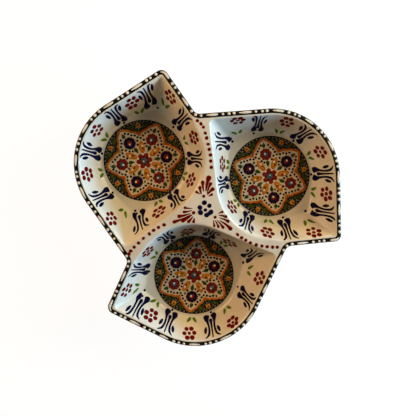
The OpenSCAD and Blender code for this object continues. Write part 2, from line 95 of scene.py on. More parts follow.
# A floor's edge follows the brim out by this share, where the wall would run further than this
FLOOR_FOLLOW, WALL_RUN = 0.38, 12.0

# Corners of the outline, by distance from the middle and angle, and the radius that rounds each
VALLEY, VALLEY_R = (86.5, 72.1), 7.4
LOBE, LOBE_R = (157.0, 15.1), 64.0
TIP, TIP_R = (133.5, -36.7), 6.6
# Corners that only a well's brim has: its hollow side, and its tail short of the valley
HOLLOW, HOLLOW_R = (25.8, -73.0), 54.0
TAIL_GAP, TAIL_R = 15.0, 5.0
BRIM_TIP_R, BRIM_VALLEY_R = 4.0, 12.0
# What draws a ridge's middle line to itself: a point off the rim, and one near the middle
BOW, BOW_LEAN = 22.5, 39.0
ROOT = (40.0, 53.0)

# The rim's band, the space from bead to bead, and a dash's length
BAND_W, BAND_DROP = LIP_W - SHOULDER_R, 3.6
BEAD_GAP, DASH_L = 5.1, 10.5

# Steps along the outline and round a well, three times as fine as the solids' have
FINE = 3
VALLEY_N, TO_TIP_N, TIP_N, TO_LOBE_N = 4 * FINE, 6 * FINE, 8 * FINE, 6 * FINE
LOBE_N, TO_TAIL_N, TAIL_N = 22 * FINE, 6 * FINE, 2 * FINE
UPPER_N, HOLLOW_N, LOWER_N = 8 * FINE, 12 * FINE, 4 * FINE
OUTLINE_N = 2 * VALLEY_N + TO_TIP_N + TIP_N + TO_LOBE_N + LOBE_N + TO_TAIL_N + TAIL_N
RIDGE_N = (UPPER_N + HOLLOW_N + LOWER_N) // 2
LOOP_N = OUTLINE_N + 2 * RIDGE_N
# Steps along a ridge over which its shoulder grows from the rim's
SOFTEN_N = 4 * FINE

# Turn of each medallion from its well's axis
MEDALLION_TURNS = (18.0, -13.0, 1.0)


# Plane shapes

def polar(reach, turn):
    turn = np.radians(turn)
    return np.stack([reach * np.cos(turn), reach * np.sin(turn)], -1)


def turned(points, turn):
    points, turn = np.asarray(points, float), math.radians(turn)
    x, y = points[..., 0], points[..., 1]
    cos, sin = math.cos(turn), math.sin(turn)
    return np.stack([x * cos - y * sin, x * sin + y * cos], -1)


def unit(vectors):
    return vectors / np.linalg.norm(vectors, axis=-1, keepdims=True)


def blend(a, b, t):
    return a + (b - a) * t


def bend(a, b, c, t):
    """The curve from a to c that b draws to itself."""
    return blend(blend(a, b, t), blend(b, c, t), t)


def at_z(points, z):
    z = np.broadcast_to(np.asarray(z, float), points.shape[:-1])
    return np.concatenate([points, z[..., None]], -1)


def lengths(line):
    """How far along a line each of its points lies."""
    return np.concatenate([[0], np.cumsum(np.linalg.norm(np.diff(line, axis=0), axis=1))])


def at_lengths(line, along, at):
    """Points of a line at new lengths, from its own points' lengths."""
    return np.stack([np.interp(at, along, column) for column in line.T], -1)


def by_turn(points):
    """Angles and distances of points about the origin, in order of angle."""
    turn = np.degrees(np.arctan2(points[:, 1], points[:, 0])) % 360
    order = np.argsort(turn)
    return turn[order], np.linalg.norm(points, axis=1)[order]


def closed_edges(count):
    return [(i, (i + 1) % count) for i in range(count)]


def corner_of(before, corner, after):
    """Which way a corner turns, half its angle, and its bisector."""
    u, v = unit(before - corner), unit(after - corner)
    way = np.sign(u[1] * v[0] - u[0] * v[1])
    return way, math.acos(float(u @ v)) / 2, unit(u + v)


def inset(before, corner, after, depth):
    """A corner moved inwards, so that both its sides move by the depth."""
    way, half, bisector = corner_of(before, corner, after)
    return corner + way * bisector * depth / math.sin(half)


def rounded(before, corner, after, radius, steps):
    """The arc that rounds a corner."""
    way, half, bisector = corner_of(before, corner, after)
    middle = corner + bisector * radius / math.sin(half)
    first = corner + unit(before - corner) * radius / math.tan(half) - middle
    start = math.degrees(math.atan2(first[1], first[0]))
    sweep = way * (180 - 2 * math.degrees(half))
    return middle + polar(radius, start + sweep * np.arange(steps + 1) / steps)


def chained(*arcs):
    """Arcs joined in a ring by straight lines. Each comes with the steps of the line after it."""
    points = []
    for i, (arc, steps) in enumerate(arcs):
        after = arcs[(i + 1) % len(arcs)][0]
        points += [arc, blend(arc[-1], after[0], np.arange(1, steps)[:, None] / steps)]
    return np.concatenate(points)


VALLEY_P, LOBE_P, TIP_P = polar(*VALLEY), polar(*LOBE), polar(*TIP)
LOW_VALLEY_P, LOW_LOBE_P = turned(VALLEY_P, -THIRD), turned(LOBE_P, -THIRD)
NEXT_TIP_P, LOW_TIP_P = turned(TIP_P, THIRD), turned(TIP_P, -THIRD)
WELL_P = np.array([WELL_REACH, 0.0])


def make_brim():
    """The top edge of a well's wall, in the frame whose X axis runs through the well."""
    valley = inset(LOW_LOBE_P, LOW_VALLEY_P, TIP_P, LIP_W)
    tip = inset(LOW_VALLEY_P, TIP_P, LOBE_P, LIP_W)
    lobe = inset(TIP_P, LOBE_P, VALLEY_P, LIP_W)
    tail = inset(LOBE_P, VALLEY_P, NEXT_TIP_P, LIP_W)
    tail = tail + unit(lobe - tail) * TAIL_GAP
    hollow = polar(*HOLLOW)
    return chained(
        (rounded(hollow, valley, tip, BRIM_VALLEY_R, VALLEY_N), TO_TIP_N),
        (rounded(valley, tip, lobe, BRIM_TIP_R, TIP_N), TO_LOBE_N),
        (rounded(tip, lobe, tail, LOBE_R - LIP_W, LOBE_N), TO_TAIL_N),
        (rounded(lobe, tail, hollow, TAIL_R, TAIL_N + VALLEY_N), UPPER_N),
        (rounded(tail, hollow, valley, HOLLOW_R, HOLLOW_N), LOWER_N),
    )


BRIM = make_brim()
TAIL_START = BRIM[VALLEY_N + TO_TIP_N + TIP_N + TO_LOBE_N + LOBE_N + TO_TAIL_N]


def outline_third(depth):
    """One third of the outline, moved inwards, from valley to valley."""
    before = inset(LOW_TIP_P, LOW_LOBE_P, LOW_VALLEY_P, depth)
    valley = inset(LOW_LOBE_P, LOW_VALLEY_P, TIP_P, depth)
    tip = inset(LOW_VALLEY_P, TIP_P, LOBE_P, depth)
    lobe = inset(TIP_P, LOBE_P, VALLEY_P, depth)
    next_valley = inset(LOBE_P, VALLEY_P, NEXT_TIP_P, depth)
    after = inset(VALLEY_P, NEXT_TIP_P, turned(LOBE_P, THIRD), depth)
    at_valley = rounded(before, valley, tip, VALLEY_R + depth, 2 * VALLEY_N)
    at_lobe = rounded(tip, lobe, next_valley, LOBE_R - depth, LOBE_N)
    at_next = rounded(lobe, next_valley, after, VALLEY_R + depth, 2 * VALLEY_N)
    along = unit(at_next[0] - at_lobe[-1])
    tail = at_lobe[-1] + along * float((TAIL_START - at_lobe[-1]) @ along)
    # The last step joins this third to the next one, without points of its own
    return chained(
        (at_valley[VALLEY_N:], TO_TIP_N),
        (rounded(valley, tip, lobe, TIP_R - depth, TIP_N), TO_LOBE_N),
        (at_lobe, TO_TAIL_N),
        (tail[None], TAIL_N),
        (at_next[:VALLEY_N], 1),
    )


def placed(points, well):
    """From a well's own frame to the bowl's."""
    return turned(points, WELL_TURN + THIRD * well) + AXIS


def placed_3d(points, well):
    return at_z(placed(points[..., :2], well), points[..., 2])


def outline(depth):
    third = outline_third(depth)
    return np.concatenate([placed(third, well) for well in range(3)])


CREST = outline_third(EDGE_R)
RIDGE_END = turned(CREST[0], THIRD)


def ridge_at(t):
    """The ridge's middle line, from the rim to the bowl's middle."""
    bow = RIDGE_END - polar(BOW, VALLEY[1] + BOW_LEAN)
    root = polar(*ROOT)
    return blend(bend(RIDGE_END, bow, root, t), bend(bow, root, np.zeros(2), t), t)


RIDGE = ridge_at(np.arange(1, RIDGE_N)[:, None] / RIDGE_N)
# What each point of a brim faces: the rim's crest, or the middle line of a ridge
FACING = np.concatenate([CREST, [RIDGE_END], RIDGE, [[0, 0]], turned(RIDGE[::-1], -THIRD)])


def floor_reach(reach):
    return FLOOR_R + FLOOR_FOLLOW * np.maximum(0, reach - FLOOR_R - WALL_RUN)


# The waves of an uneven casting: how fast each runs along X and Y, in radians for each
# millimetre, its start, and its share of the unevenness
WAVES_UP = ((0.043, 0.027, 1.3, 1.0), (-0.05, 0.085, 0.0, 0.5))
WAVE_IN_X = (0.0, 0.061, 0.7, 0.5)
WAVE_IN_Y = (0.055, 0.0, 2.1, 0.5)
# The feet stay true: the waves grow over this height above them
TRUE_H = 8


def wave(x, y, along_x, along_y, start, share):
    return share * np.sin(x * along_x + y * along_y + start)


def shaped(points):
    """The slight unevenness that a plaster mould and hand trimming leave. It never raises a point."""
    moved = np.array(points, float)
    x, y, z = moved[..., 0], moved[..., 1], moved[..., 2]
    amount = np.clip((z - FOOT_Z) / TRUE_H, 0, 1) * (bpy.context.scene.bowl_shape.unevenness / MM)
    z += amount * (sum(wave(x, y, *up) for up in WAVES_UP) - sum(up[-1] for up in WAVES_UP)) / 2
    x += amount * wave(x, y, *WAVE_IN_X)
    y += amount * wave(x, y, *WAVE_IN_Y)
    return moved


# The wells' walls

BRIM_TURNS, BRIM_REACHES = by_turn(BRIM - WELL_P)
WALL_H = RIM_Z - FLOOR_Z
# A step round a wall, in degrees, and up it, in millimetres, to find which way it faces
FACING_STEP = 0.3


def brim_reach(turn):
    return np.interp(turn, BRIM_TURNS, BRIM_REACHES, period=360)


def wall_ends(turn):
    """How far from the well's middle its wall starts on the floor and ends at the brim."""
    brim = brim_reach(turn)
    return floor_reach(brim), brim


def wall_length(turn):
    foot, brim = wall_ends(turn)
    return np.hypot(brim - foot, WALL_H)


def wall_point(well, turn, climb):
    """A point at an angle about the well's middle, so many millimetres up from the floor's edge."""
    turn, climb = np.broadcast_arrays(np.asarray(turn, float), np.asarray(climb, float))
    foot, brim = wall_ends(turn)
    on_floor = np.full_like(foot, FLOOR_Z)
    edge = np.stack([foot, on_floor], -1)
    up = np.stack([brim - foot, np.full_like(foot, WALL_H)], -1) / wall_length(turn)[..., None]
    level = np.stack([foot + climb, on_floor], -1)
    t = np.clip((climb + CREASE_R) / (2 * CREASE_R), 0, 1)[..., None]
    climb = climb[..., None]
    crease = bend(edge - np.array([CREASE_R, 0]), edge, edge + up * CREASE_R, t)
    section = np.where(climb < -CREASE_R, level, np.where(climb > CREASE_R, edge + up * climb, crease))
    flat = WELL_P + polar(section[..., 0], turn)
    return shaped(placed_3d(at_z(flat, section[..., 1]), well))


def wall_frame(well, turn, climb):
    """The point, the direction away from the clay, and the direction round the well."""
    point = wall_point(well, turn, climb)
    across = wall_point(well, np.asarray(turn) + FACING_STEP, climb) - point
    up = wall_point(well, turn, np.asarray(climb) + FACING_STEP) - point
    return point, unit(np.cross(up, across)), unit(across)


# Materials

def linear(hex_colour):
    """An sRGB colour such as e8dfd0 as linear RGBA."""
    values = [int(hex_colour[i:i + 2], 16) / 255 for i in (0, 2, 4)]
    return tuple(v / 12.92 if v <= 0.04045 else ((v + 0.055) / 1.055) ** 2.4 for v in values) + (1.0,)


def add(tree, kind, settings=None, links=None):
    """Adds a node. Settings are its own properties by name, or its inputs by name or number."""
    node = tree.nodes.new(kind)
    for key, value in (settings or {}).items():
        if isinstance(key, str) and key in node.bl_rna.properties and key not in node.inputs:
            setattr(node, key, value)
        else:
            node.inputs[key].default_value = value
    for key, source in (links or {}).items():
        tree.links.new(source, node.inputs[key])
    return node


def new_material(name):
    material = bpy.data.materials.new(name)
    material.use_nodes = True
    material.node_tree.nodes.clear()
    return material, material.node_tree


def per_mm(size):
    """A pattern scale for features of that many millimetres, on coordinates in metres."""
    return 1 / (size * MM)


def glazed_earthenware(colours):
    """Cast earthenware under a clear lead-free glaze: an uneven milky white, a little darker in
    random cloudy patches where it lies thicker, with pinholes and a wavy gloss."""
    material, tree = new_material("glazed earthenware")
    place = add(tree, "ShaderNodeTexCoord").outputs["Object"]
    cloud = add(tree, "ShaderNodeTexNoise", {"Scale": per_mm(34), "Detail": 3, "Roughness": 0.55},
                {"Vector": place})
    soft = add(tree, "ShaderNodeMapRange", {"From Min": 0.36, "From Max": 0.66},
               {"Value": cloud.outputs["Fac"]})
    pooled = {"data_type": "RGBA", 6: (*colours.glaze, 1), 7: (*colours.glaze_pooled, 1)}
    body = add(tree, "ShaderNodeMix", pooled, {0: soft.outputs[0]})
    fleck = add(tree, "ShaderNodeTexNoise", {"Scale": per_mm(1.6), "Detail": 2, "Roughness": 0.7},
                {"Vector": place})
    speck = add(tree, "ShaderNodeMapRange", {"From Min": 0.66, "From Max": 0.74, "To Max": 0.3},
                {"Value": fleck.outputs["Fac"]})
    spotted = add(tree, "ShaderNodeMix", {"data_type": "RGBA", 7: linear("8f7a5c")},
                  {0: speck.outputs[0], 6: body.outputs[2]})
    waves = add(tree, "ShaderNodeTexNoise", {"Scale": per_mm(9), "Detail": 2}, {"Vector": place})
    pinholes = add(tree, "ShaderNodeTexVoronoi", {"Scale": per_mm(5), "Randomness": 1.0}, {"Vector": place})
    pit = add(tree, "ShaderNodeMapRange", {"From Min": 0.0, "From Max": 0.07},
              {"Value": pinholes.outputs["Distance"]})
    relief = add(tree, "ShaderNodeMath", {"operation": "MULTIPLY_ADD", 1: 0.25},
                 {0: pit.outputs[0], 2: waves.outputs["Fac"]})
    bump = add(tree, "ShaderNodeBump", {"Strength": 0.3, "Distance": 0.6 * MM}, {"Height": relief.outputs[0]})
    rough = add(tree, "ShaderNodeMapRange", {"To Min": 0.13, "To Max": 0.24}, {"Value": cloud.outputs["Fac"]})
    shader = add(tree, "ShaderNodeBsdfPrincipled", {"IOR": 1.5, "Coat Weight": 0.3, "Coat Roughness": 0.12},
                 {"Base Color": spotted.outputs[2], "Roughness": rough.outputs[0], "Normal": bump.outputs[0]})
    add(tree, "ShaderNodeOutputMaterial", links={"Surface": shader.outputs[0]})
    return material


def bare_clay(colours):
    """Bisque-fired clay left without glaze, sponged smooth: matt, buff, faintly gritty."""
    material, tree = new_material("bisque clay")
    place = add(tree, "ShaderNodeTexCoord").outputs["Object"]
    grit = add(tree, "ShaderNodeTexNoise", {"Scale": per_mm(0.9), "Detail": 4, "Roughness": 0.7},
               {"Vector": place})
    stain = add(tree, "ShaderNodeTexNoise", {"Scale": per_mm(14), "Detail": 3}, {"Vector": place})
    both = add(tree, "ShaderNodeMath", {"operation": "MULTIPLY_ADD", 1: 0.5},
               {0: grit.outputs["Fac"], 2: stain.outputs["Fac"]})
    span = add(tree, "ShaderNodeMapRange", {"From Min": 0.5, "From Max": 1.0}, {"Value": both.outputs[0]})
    body = add(tree, "ShaderNodeMix", {"data_type": "RGBA", 6: (*colours.clay, 1), 7: linear("d9c3a2")},
               {0: span.outputs[0]})
    bump = add(tree, "ShaderNodeBump", {"Strength": 0.6, "Distance": 0.2 * MM},
               {"Height": grit.outputs["Fac"]})
    shader = add(tree, "ShaderNodeBsdfPrincipled", {"Roughness": 0.85, "IOR": 1.5},
                 {"Base Color": body.outputs[2], "Normal": bump.outputs[0]})
    add(tree, "ShaderNodeOutputMaterial", links={"Surface": shader.outputs[0]})
    return material


def relief_enamel(name, deep, thin, patch, roughness, gloss):
    """Coloured enamel trailed on thickly and fired: glassy, deep where it pools and
    lighter where it runs thin."""
    material, tree = new_material(name + " relief enamel")
    place = add(tree, "ShaderNodeTexCoord").outputs["Object"]
    pool = add(tree, "ShaderNodeTexNoise", {"Scale": per_mm(patch), "Detail": 3, "Roughness": 0.6},
               {"Vector": place})
    span = add(tree, "ShaderNodeMapRange", {"From Min": 0.42, "From Max": 0.72},
               {"Value": pool.outputs["Fac"]})
    body = add(tree, "ShaderNodeMix", {"data_type": "RGBA", 6: deep, 7: linear(thin)}, {0: span.outputs[0]})
    bump = add(tree, "ShaderNodeBump", {"Strength": 0.25, "Distance": 0.3 * MM},
               {"Height": pool.outputs["Fac"]})
    rough = add(tree, "ShaderNodeMapRange", {"To Min": roughness - 0.06, "To Max": roughness + 0.1},
                {"Value": pool.outputs["Fac"]})
    shader = add(tree, "ShaderNodeBsdfPrincipled", {"IOR": 1.32, "Specular IOR Level": gloss},
                 {"Base Color": body.outputs[2], "Roughness": rough.outputs[0], "Normal": bump.outputs[0]})
    add(tree, "ShaderNodeOutputMaterial", links={"Surface": shader.outputs[0]})
    return material


# Each enamel's colour where it runs thin, the width of its patches in millimetres, its
# roughness, and how strongly it mirrors
ENAMELS = {
    "black": ("241e17", 5.0, 0.2, 0.4),
    "white": ("dedbd0", 2.0, 0.25, 0.16),
    "red": ("780c0e", 3.0, 0.2, 0.16),
    "navy": ("11144a", 4.0, 0.18, 0.1),
    "cream": ("c4b9a4", 4.0, 0.28, 0.16),
    "orange": ("cf7f2c", 4.0, 0.25, 0.16),
    "amber": ("d99a30", 3.0, 0.22, 0.16),
    "green": ("6a8c28", 3.0, 0.22, 0.16),
    "moss": ("38541a", 3.0, 0.25, 0.16),
    "olive": ("566333", 2.2, 0.25, 0.16),
    "grey": ("a5a498", 2.0, 0.3, 0.16),
    "blue": ("5d6c80", 2.0, 0.22, 0.16),
    "brick": ("982b19", 2.0, 0.22, 0.16),
}
# The deep colours of the enamels that the panel doesn't list
DEEP = {"moss": "1f390e", "olive": "28350f", "grey": "76766c", "brick": "74140d"}
MATERIALS = {}


def finish_of(name):
    """The material of that name, made on first use."""
    if name not in MATERIALS:
        colours = bpy.context.scene.bowl_colours
        if name == "glaze":
            MATERIALS[name] = glazed_earthenware(colours)
        elif name == "clay":
            MATERIALS[name] = bare_clay(colours)
        else:
            deep = linear(DEEP[name]) if name in DEEP else (*getattr(colours, name), 1)
            MATERIALS[name] = relief_enamel(name, deep, *ENAMELS[name])
    return MATERIALS[name]


# Making pieces

UPWARDS = (0, 0, 1)
# Edges that turn further than this, in degrees, stay sharp
SHARP = 50
# Points closer than this, in metres, are one
SAME_POINT = 1e-6


def solid_mesh(name, points, faces):
    """A mesh from points in millimetres."""
    mesh = bpy.data.meshes.new(name)
    mesh.from_pydata((np.asarray(points) * MM).tolist(), [], [list(map(int, face)) for face in faces])
    return mesh


def point_mesh(name, points, edges, vectors=None, numbers=None):
    """Points in millimetres, with their edges and their own named values."""
    mesh = bpy.data.meshes.new(name)
    mesh.from_pydata((np.asarray(points) * MM).tolist(), edges, [])
    for kind, field, given in (("FLOAT_VECTOR", "vector", vectors), ("FLOAT", "value", numbers)):
        for label, values in (given or {}).items():
            attribute = mesh.attributes.new(label, kind, "POINT")
            attribute.data.foreach_set(field, np.asarray(values, float).ravel())
    return mesh


def put(name, data):
    """A new object in the scene."""
    thing = bpy.data.objects.new(name, data)
    bpy.context.scene.collection.objects.link(thing)
    return thing


def settle(piece, colour, nodes=()):
    """Closes a piece's mesh, points its faces outwards, and hands it over to the bowl."""
    work = bmesh.new()
    work.from_mesh(piece.data)
    bmesh.ops.remove_doubles(work, verts=work.verts, dist=SAME_POINT)
    bmesh.ops.recalc_face_normals(work, faces=work.faces)
    work.to_mesh(piece.data)
    work.free()
    if not piece.data.polygons:
        raise RuntimeError(piece.name + " came out empty")
    piece.data.shade_smooth()
    piece.data.set_sharp_from_angle(angle=math.radians(SHARP))
    if not piece.data.materials:
        piece.data.materials.append(finish_of(colour))
    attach(piece, "root")
    if nodes:
        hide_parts(*nodes)
    return piece


def piece_from(name, points, faces, colour, nodes=()):
    """A piece from points in millimetres and its faces."""
    return settle(put(name, solid_mesh(name, points, faces)), colour, nodes)


def stacked(rows, poles=(None, None)):
    """Points and faces of closed rows in order, open or closed by a pole at either end."""
    points, faces, numbers, count = [], [], [], 0
    for row in rows:
        points.append(row)
        numbers.append(np.arange(count, count + len(row)))
        count += len(row)
    for a, b in zip(numbers, numbers[1:]):
        faces += [(a[i], a[j], b[j], b[i]) for i, j in closed_edges(len(a))]
    for end, pole in zip((numbers[0], numbers[-1]), poles):
        if pole is not None:
            points.append(pole[None])
            faces += [(end[i], end[j], count) for i, j in closed_edges(len(end))]
            count += 1
    return np.concatenate(points), faces


def new_tree(name, inputs):
    """A geometry node tree with named inputs, and what its input node gives."""
    tree = bpy.data.node_groups.new(name, "GeometryNodeTree")
    tree.interface.new_socket("Geometry", in_out="INPUT", socket_type="NodeSocketGeometry")
    for label, kind, value in inputs:
        socket = tree.interface.new_socket(label, in_out="INPUT", socket_type="NodeSocket" + kind)
        if value is not None:
            socket.default_value = value
    tree.interface.new_socket("Geometry", in_out="OUTPUT", socket_type="NodeSocketGeometry")
    return tree, add(tree, "NodeGroupInput").outputs


def end_tree(tree, geometry, material):
    """Real geometry, smooth, in its material."""
    real = add(tree, "GeometryNodeRealizeInstances", links={0: geometry})
    painted = add(tree, "GeometryNodeSetMaterial", links={"Geometry": real.outputs[0], "Material": material})
    add(tree, "NodeGroupOutput", links={0: painted.outputs[0]})
    return tree


def facing_curve(tree, geometry):
    """The mesh's lines as curves, each point of which faces its own way."""
    curve = add(tree, "GeometryNodeMeshToCurve", links={0: geometry})
    facing = add(tree, "GeometryNodeInputNamedAttribute", {"data_type": "FLOAT_VECTOR", "Name": "facing"})
    aimed = add(tree, "GeometryNodeSetCurveNormal", {"mode": "FREE"},
                {"Curve": curve.outputs[0], "Normal": facing.outputs["Attribute"]})
    return aimed.outputs[0]


def brush_tree():
    """Strokes: each chain of points becomes a low rounded ridge of enamel, as wide as its reach."""
    tree, given = new_tree("Brush strokes", [
        ("Relief", "Float", 0.25), ("Section Points", "Int", 8), ("Enamel", "Material", None)])
    line = facing_curve(tree, given["Geometry"])
    ring = add(tree, "GeometryNodeCurvePrimitiveCircle", {"Radius": 1.0},
               {"Resolution": given["Section Points"]})
    squash = add(tree, "ShaderNodeCombineXYZ", {1: 1.0, 2: 1.0}, {0: given["Relief"]})
    section = add(tree, "GeometryNodeTransform",
                  links={"Geometry": ring.outputs[0], "Scale": squash.outputs[0]})
    reach = add(tree, "GeometryNodeInputNamedAttribute", {"data_type": "FLOAT", "Name": "reach"})
    swept = add(tree, "GeometryNodeCurveToMesh", {"Fill Caps": True},
                {"Curve": line, "Profile Curve": section.outputs[0], "Scale": reach.outputs["Attribute"]})
    return end_tree(tree, swept.outputs[0], given["Enamel"])


def drop_tree():
    """Drops: a low dome of enamel on each point, turned and sized by the point's own values."""
    tree, given = new_tree("Raised drops", [
        ("Segments", "Int", 12), ("Rings", "Int", 6), ("Unevenness", "Float", 0.05), ("Seed", "Int", 3),
        ("Enamel", "Material", None)])
    dome = add(tree, "GeometryNodeMeshUVSphere", {"Radius": 1.0},
               {"Segments": given["Segments"], "Rings": given["Rings"]})
    low = add(tree, "ShaderNodeMath", {"operation": "SUBTRACT", 0: 1.0}, {1: given["Unevenness"]})
    high = add(tree, "ShaderNodeMath", {"operation": "ADD", 0: 1.0}, {1: given["Unevenness"]})
    vary = add(tree, "FunctionNodeRandomValue", {"data_type": "FLOAT_VECTOR"},
               {"Min": low.outputs[0], "Max": high.outputs[0], "Seed": given["Seed"]})
    sizes = add(tree, "GeometryNodeInputNamedAttribute", {"data_type": "FLOAT_VECTOR", "Name": "size"})
    turns = add(tree, "GeometryNodeInputNamedAttribute", {"data_type": "FLOAT_VECTOR", "Name": "turn"})
    size = add(tree, "ShaderNodeVectorMath", {"operation": "MULTIPLY"},
               {0: sizes.outputs["Attribute"], 1: vary.outputs[0]})
    turn = add(tree, "FunctionNodeEulerToRotation", links={0: turns.outputs["Attribute"]})
    drops = add(tree, "GeometryNodeInstanceOnPoints",
                links={"Points": given["Geometry"], "Instance": dome.outputs[0],
                       "Rotation": turn.outputs[0], "Scale": size.outputs[0]})
    return end_tree(tree, drops.outputs[0], given["Enamel"])


def band_tree():
    """A band: one closed section carried along a closed path."""
    tree, given = new_tree("Band along the rim", [("Section", "Object", None), ("Enamel", "Material", None)])
    path = facing_curve(tree, given["Geometry"])
    source = add(tree, "GeometryNodeObjectInfo", links={"Object": given["Section"]})
    section = add(tree, "GeometryNodeMeshToCurve", links={0: source.outputs["Geometry"]})
    swept = add(tree, "GeometryNodeCurveToMesh", links={"Curve": path, "Profile Curve": section.outputs[0]})
    return end_tree(tree, swept.outputs[0], given["Enamel"])


TREES = {}


def grown(name, mesh, make_tree, inputs, colour, nodes=()):
    """Runs a tree on a mesh of points or paths, and keeps the plain result as a piece."""
    if make_tree not in TREES:
        TREES[make_tree] = make_tree()
    tree = TREES[make_tree]
    piece = put(name, mesh)
    modifier = piece.modifiers.new("grow", "NODES")
    modifier.node_group = tree
    given = dict(inputs, Enamel=finish_of(colour))
    for socket in tree.interface.items_tree:
        if socket.in_out == "INPUT" and socket.name in given:
            modifier[socket.identifier] = given[socket.name]
    bpy.context.view_layer.update()
    done = bpy.data.meshes.new_from_object(piece.evaluated_get(bpy.context.evaluated_depsgraph_get()))
    piece.modifiers.remove(modifier)
    piece.data = done
    done.name = name
    bpy.data.meshes.remove(mesh)
    return settle(piece, colour, nodes)


# Points of a smooth line between two given ones
SPAN_N = 12
# A stroke's round end: where its points stand, how far the even ones keep off it, both as
# shares of its half width, and the least half width at its very end in millimetres
CAP_SHARES, KEEP_OFF_SHARE, LEAST_REACH = np.array([0.03, 0.18, 0.5, 1.0]), 1.3, 0.02


def smooth_line(points):
    """A smooth line through all the points."""
    padded = np.concatenate([[2 * points[0] - points[1]], points, [2 * points[-1] - points[-2]]])
    t = np.linspace(0, 1, SPAN_N, endpoint=False)[:, None]
    spans = []
    for a, b, c, d in zip(padded, padded[1:], padded[2:], padded[3:]):
        square, cube = 2 * a - 5 * b + 4 * c - d, 3 * b - a - 3 * c + d
        spans.append(0.5 * (2 * b + (c - a) * t + square * t ** 2 + cube * t ** 3))
    return np.concatenate(spans + [points[-1:]])


def eased(values):
    """Values that pass softly from one given one to the next, at the points of a smooth line."""
    t = np.linspace(0, 1, SPAN_N, endpoint=False)
    spans = [blend(a, b, t * t * (3 - 2 * t)) for a, b in zip(values, values[1:])]
    return np.concatenate(spans + [values[-1:]])


def along_points(points, values, step):
    """A smooth line through points, with a half width carried along, as even stations with round ends."""
    line, reach = smooth_line(np.asarray(points, float)), eased(np.asarray(values, float))
    along = lengths(line)
    total, first, final = along[-1], reach[0], reach[-1]
    even = np.linspace(first * KEEP_OFF_SHARE, total - final * KEEP_OFF_SHARE, max(3, int(total / step)))
    at = np.concatenate([first * CAP_SHARES, even, total - final * CAP_SHARES])
    at = np.unique(np.clip(at, 0, total))
    reach = np.interp(at, along, reach)
    for away, size in ((at, first), (total - at, final)):
        reach = reach * np.sqrt(1 - (1 - np.clip(away / size, 0, 1)) ** 2)
    return at_lengths(line, along, at), np.maximum(reach, LEAST_REACH)


def dot_points(place, radius, aim=0.0):
    """The line whose round ends make a dot, to be followed with that radius as its reach."""
    return np.asarray(place, float) + polar(radius, aim) * np.array([[-1], [0], [1]])


class Strokes:
    """Brush strokes of one colour, gathered to be made at once."""

    def __init__(self):
        self.points, self.facing, self.reach, self.edges, self.count = [], [], [], [], 0

    def add(self, points, facing, reach, closed=False):
        n = len(points)
        self.points.append(points)
        self.facing.append(np.broadcast_to(facing, points.shape))
        self.reach.append(np.asarray(reach) * MM)
        self.edges += [(self.count + i, self.count + i + 1) for i in range(n - 1)]
        if closed:
            self.edges.append((self.count + n - 1, self.count))
        self.count += n

    def make(self, name, colour, relief, nodes=(), section=8):
        mesh = point_mesh(name, np.concatenate(self.points), self.edges,
                          {"facing": np.concatenate(self.facing)}, {"reach": np.concatenate(self.reach)})
        return grown(name, mesh, brush_tree, {"Relief": relief, "Section Points": section}, colour, nodes)


class Drops:
    """Drops of one colour, gathered to be made at once."""

    def __init__(self):
        self.points, self.turns, self.sizes = [], [], []

    def add(self, point, up, ahead, size):
        up, ahead = Vector(up).normalized(), Vector(ahead)
        ahead = (ahead - up * ahead.dot(up)).normalized()
        side = up.cross(ahead)
        self.points.append(np.asarray(point, float))
        self.turns.append(tuple(Matrix((ahead, side, up)).transposed().to_euler()))
        self.sizes.append(np.asarray(size, float) * MM)

    def make(self, name, colour, nodes=(), segments=12, rings=6, seed=3, unevenness=0.05):
        mesh = point_mesh(name, self.points, [], {"turn": self.turns, "size": self.sizes})
        inputs = {"Segments": segments, "Rings": rings, "Seed": seed, "Unevenness": unevenness}
        return grown(name, mesh, drop_tree, inputs, colour, nodes)


# Properties

def tint(label, description, hex_colour):
    """A colour for the panel, from its sRGB hex value."""
    return FloatVectorProperty(
        name=label, description=description, subtype="COLOR", default=linear(hex_colour)[:3])


def watts(label, description, power):
    """A lamp's power for the panel."""
    return FloatProperty(name=label, description=description, default=power, min=0, unit="POWER")


class BowlShape(bpy.types.PropertyGroup):
    unevenness: FloatProperty(
        name="Unevenness", description="How far the casting strays from its drawing",
        default=0.22 * MM, min=0, unit="LENGTH")
    stroke_relief: FloatProperty(
        name="Stroke relief", description="Height of a brush stroke as a share of its half width",
        default=0.26, min=0.05, max=1, subtype="FACTOR")
    dot_height: FloatProperty(
        name="Dot height", description="Height of the raised dots on walls and ridges",
        default=0.4 * MM, min=0, unit="LENGTH")
    rim_groups: IntProperty(
        name="Groups on the rim", description="Groups of three white dots round the rim", default=27, min=3)


class BowlColours(bpy.types.PropertyGroup):
    glaze: tint("Glaze", "The clear white glaze", "ebe9e2")
    glaze_pooled: tint("Pooled glaze", "The glaze where it lies thicker", "dedbd2")
    clay: tint("Clay", "The bare clay of the foot rings", "bd9f78")
    black: tint("Black", "Rim band and medallion ground", "100f0c")
    white: tint("White", "Beads and rim dots", "f5f4ef")
    red: tint("Red", "Rosettes, ridge dots and sprays", "5e0508")
    navy: tint("Navy", "Tulips and the middle rosette", "08092c")
    cream: tint("Cream", "Inside of the star", "d8d1c2")
    orange: tint("Orange", "Outline of the star", "b25a16")
    amber: tint("Amber", "Almond petals", "bd7a16")
    green: tint("Green", "Leaves", "46700f")
    blue: tint("Blue grey", "Bosses and eyes", "3c4a5c")


class BowlStudio(bpy.types.PropertyGroup):
    floor: tint("Floor", "Colour of the floor", "f2f3f5")
    window: watts("Window light", "Power of the low cool light from the right", 15.5)
    key: watts("Key light", "Power of the light from the right and above", 6.4)
    room: watts("Room light", "Power of the warm light from behind and the left", 5.7)
    sky: FloatProperty(
        name="Surrounding light", description="Strength of the light from all round", default=0.11, min=0)


# Operators

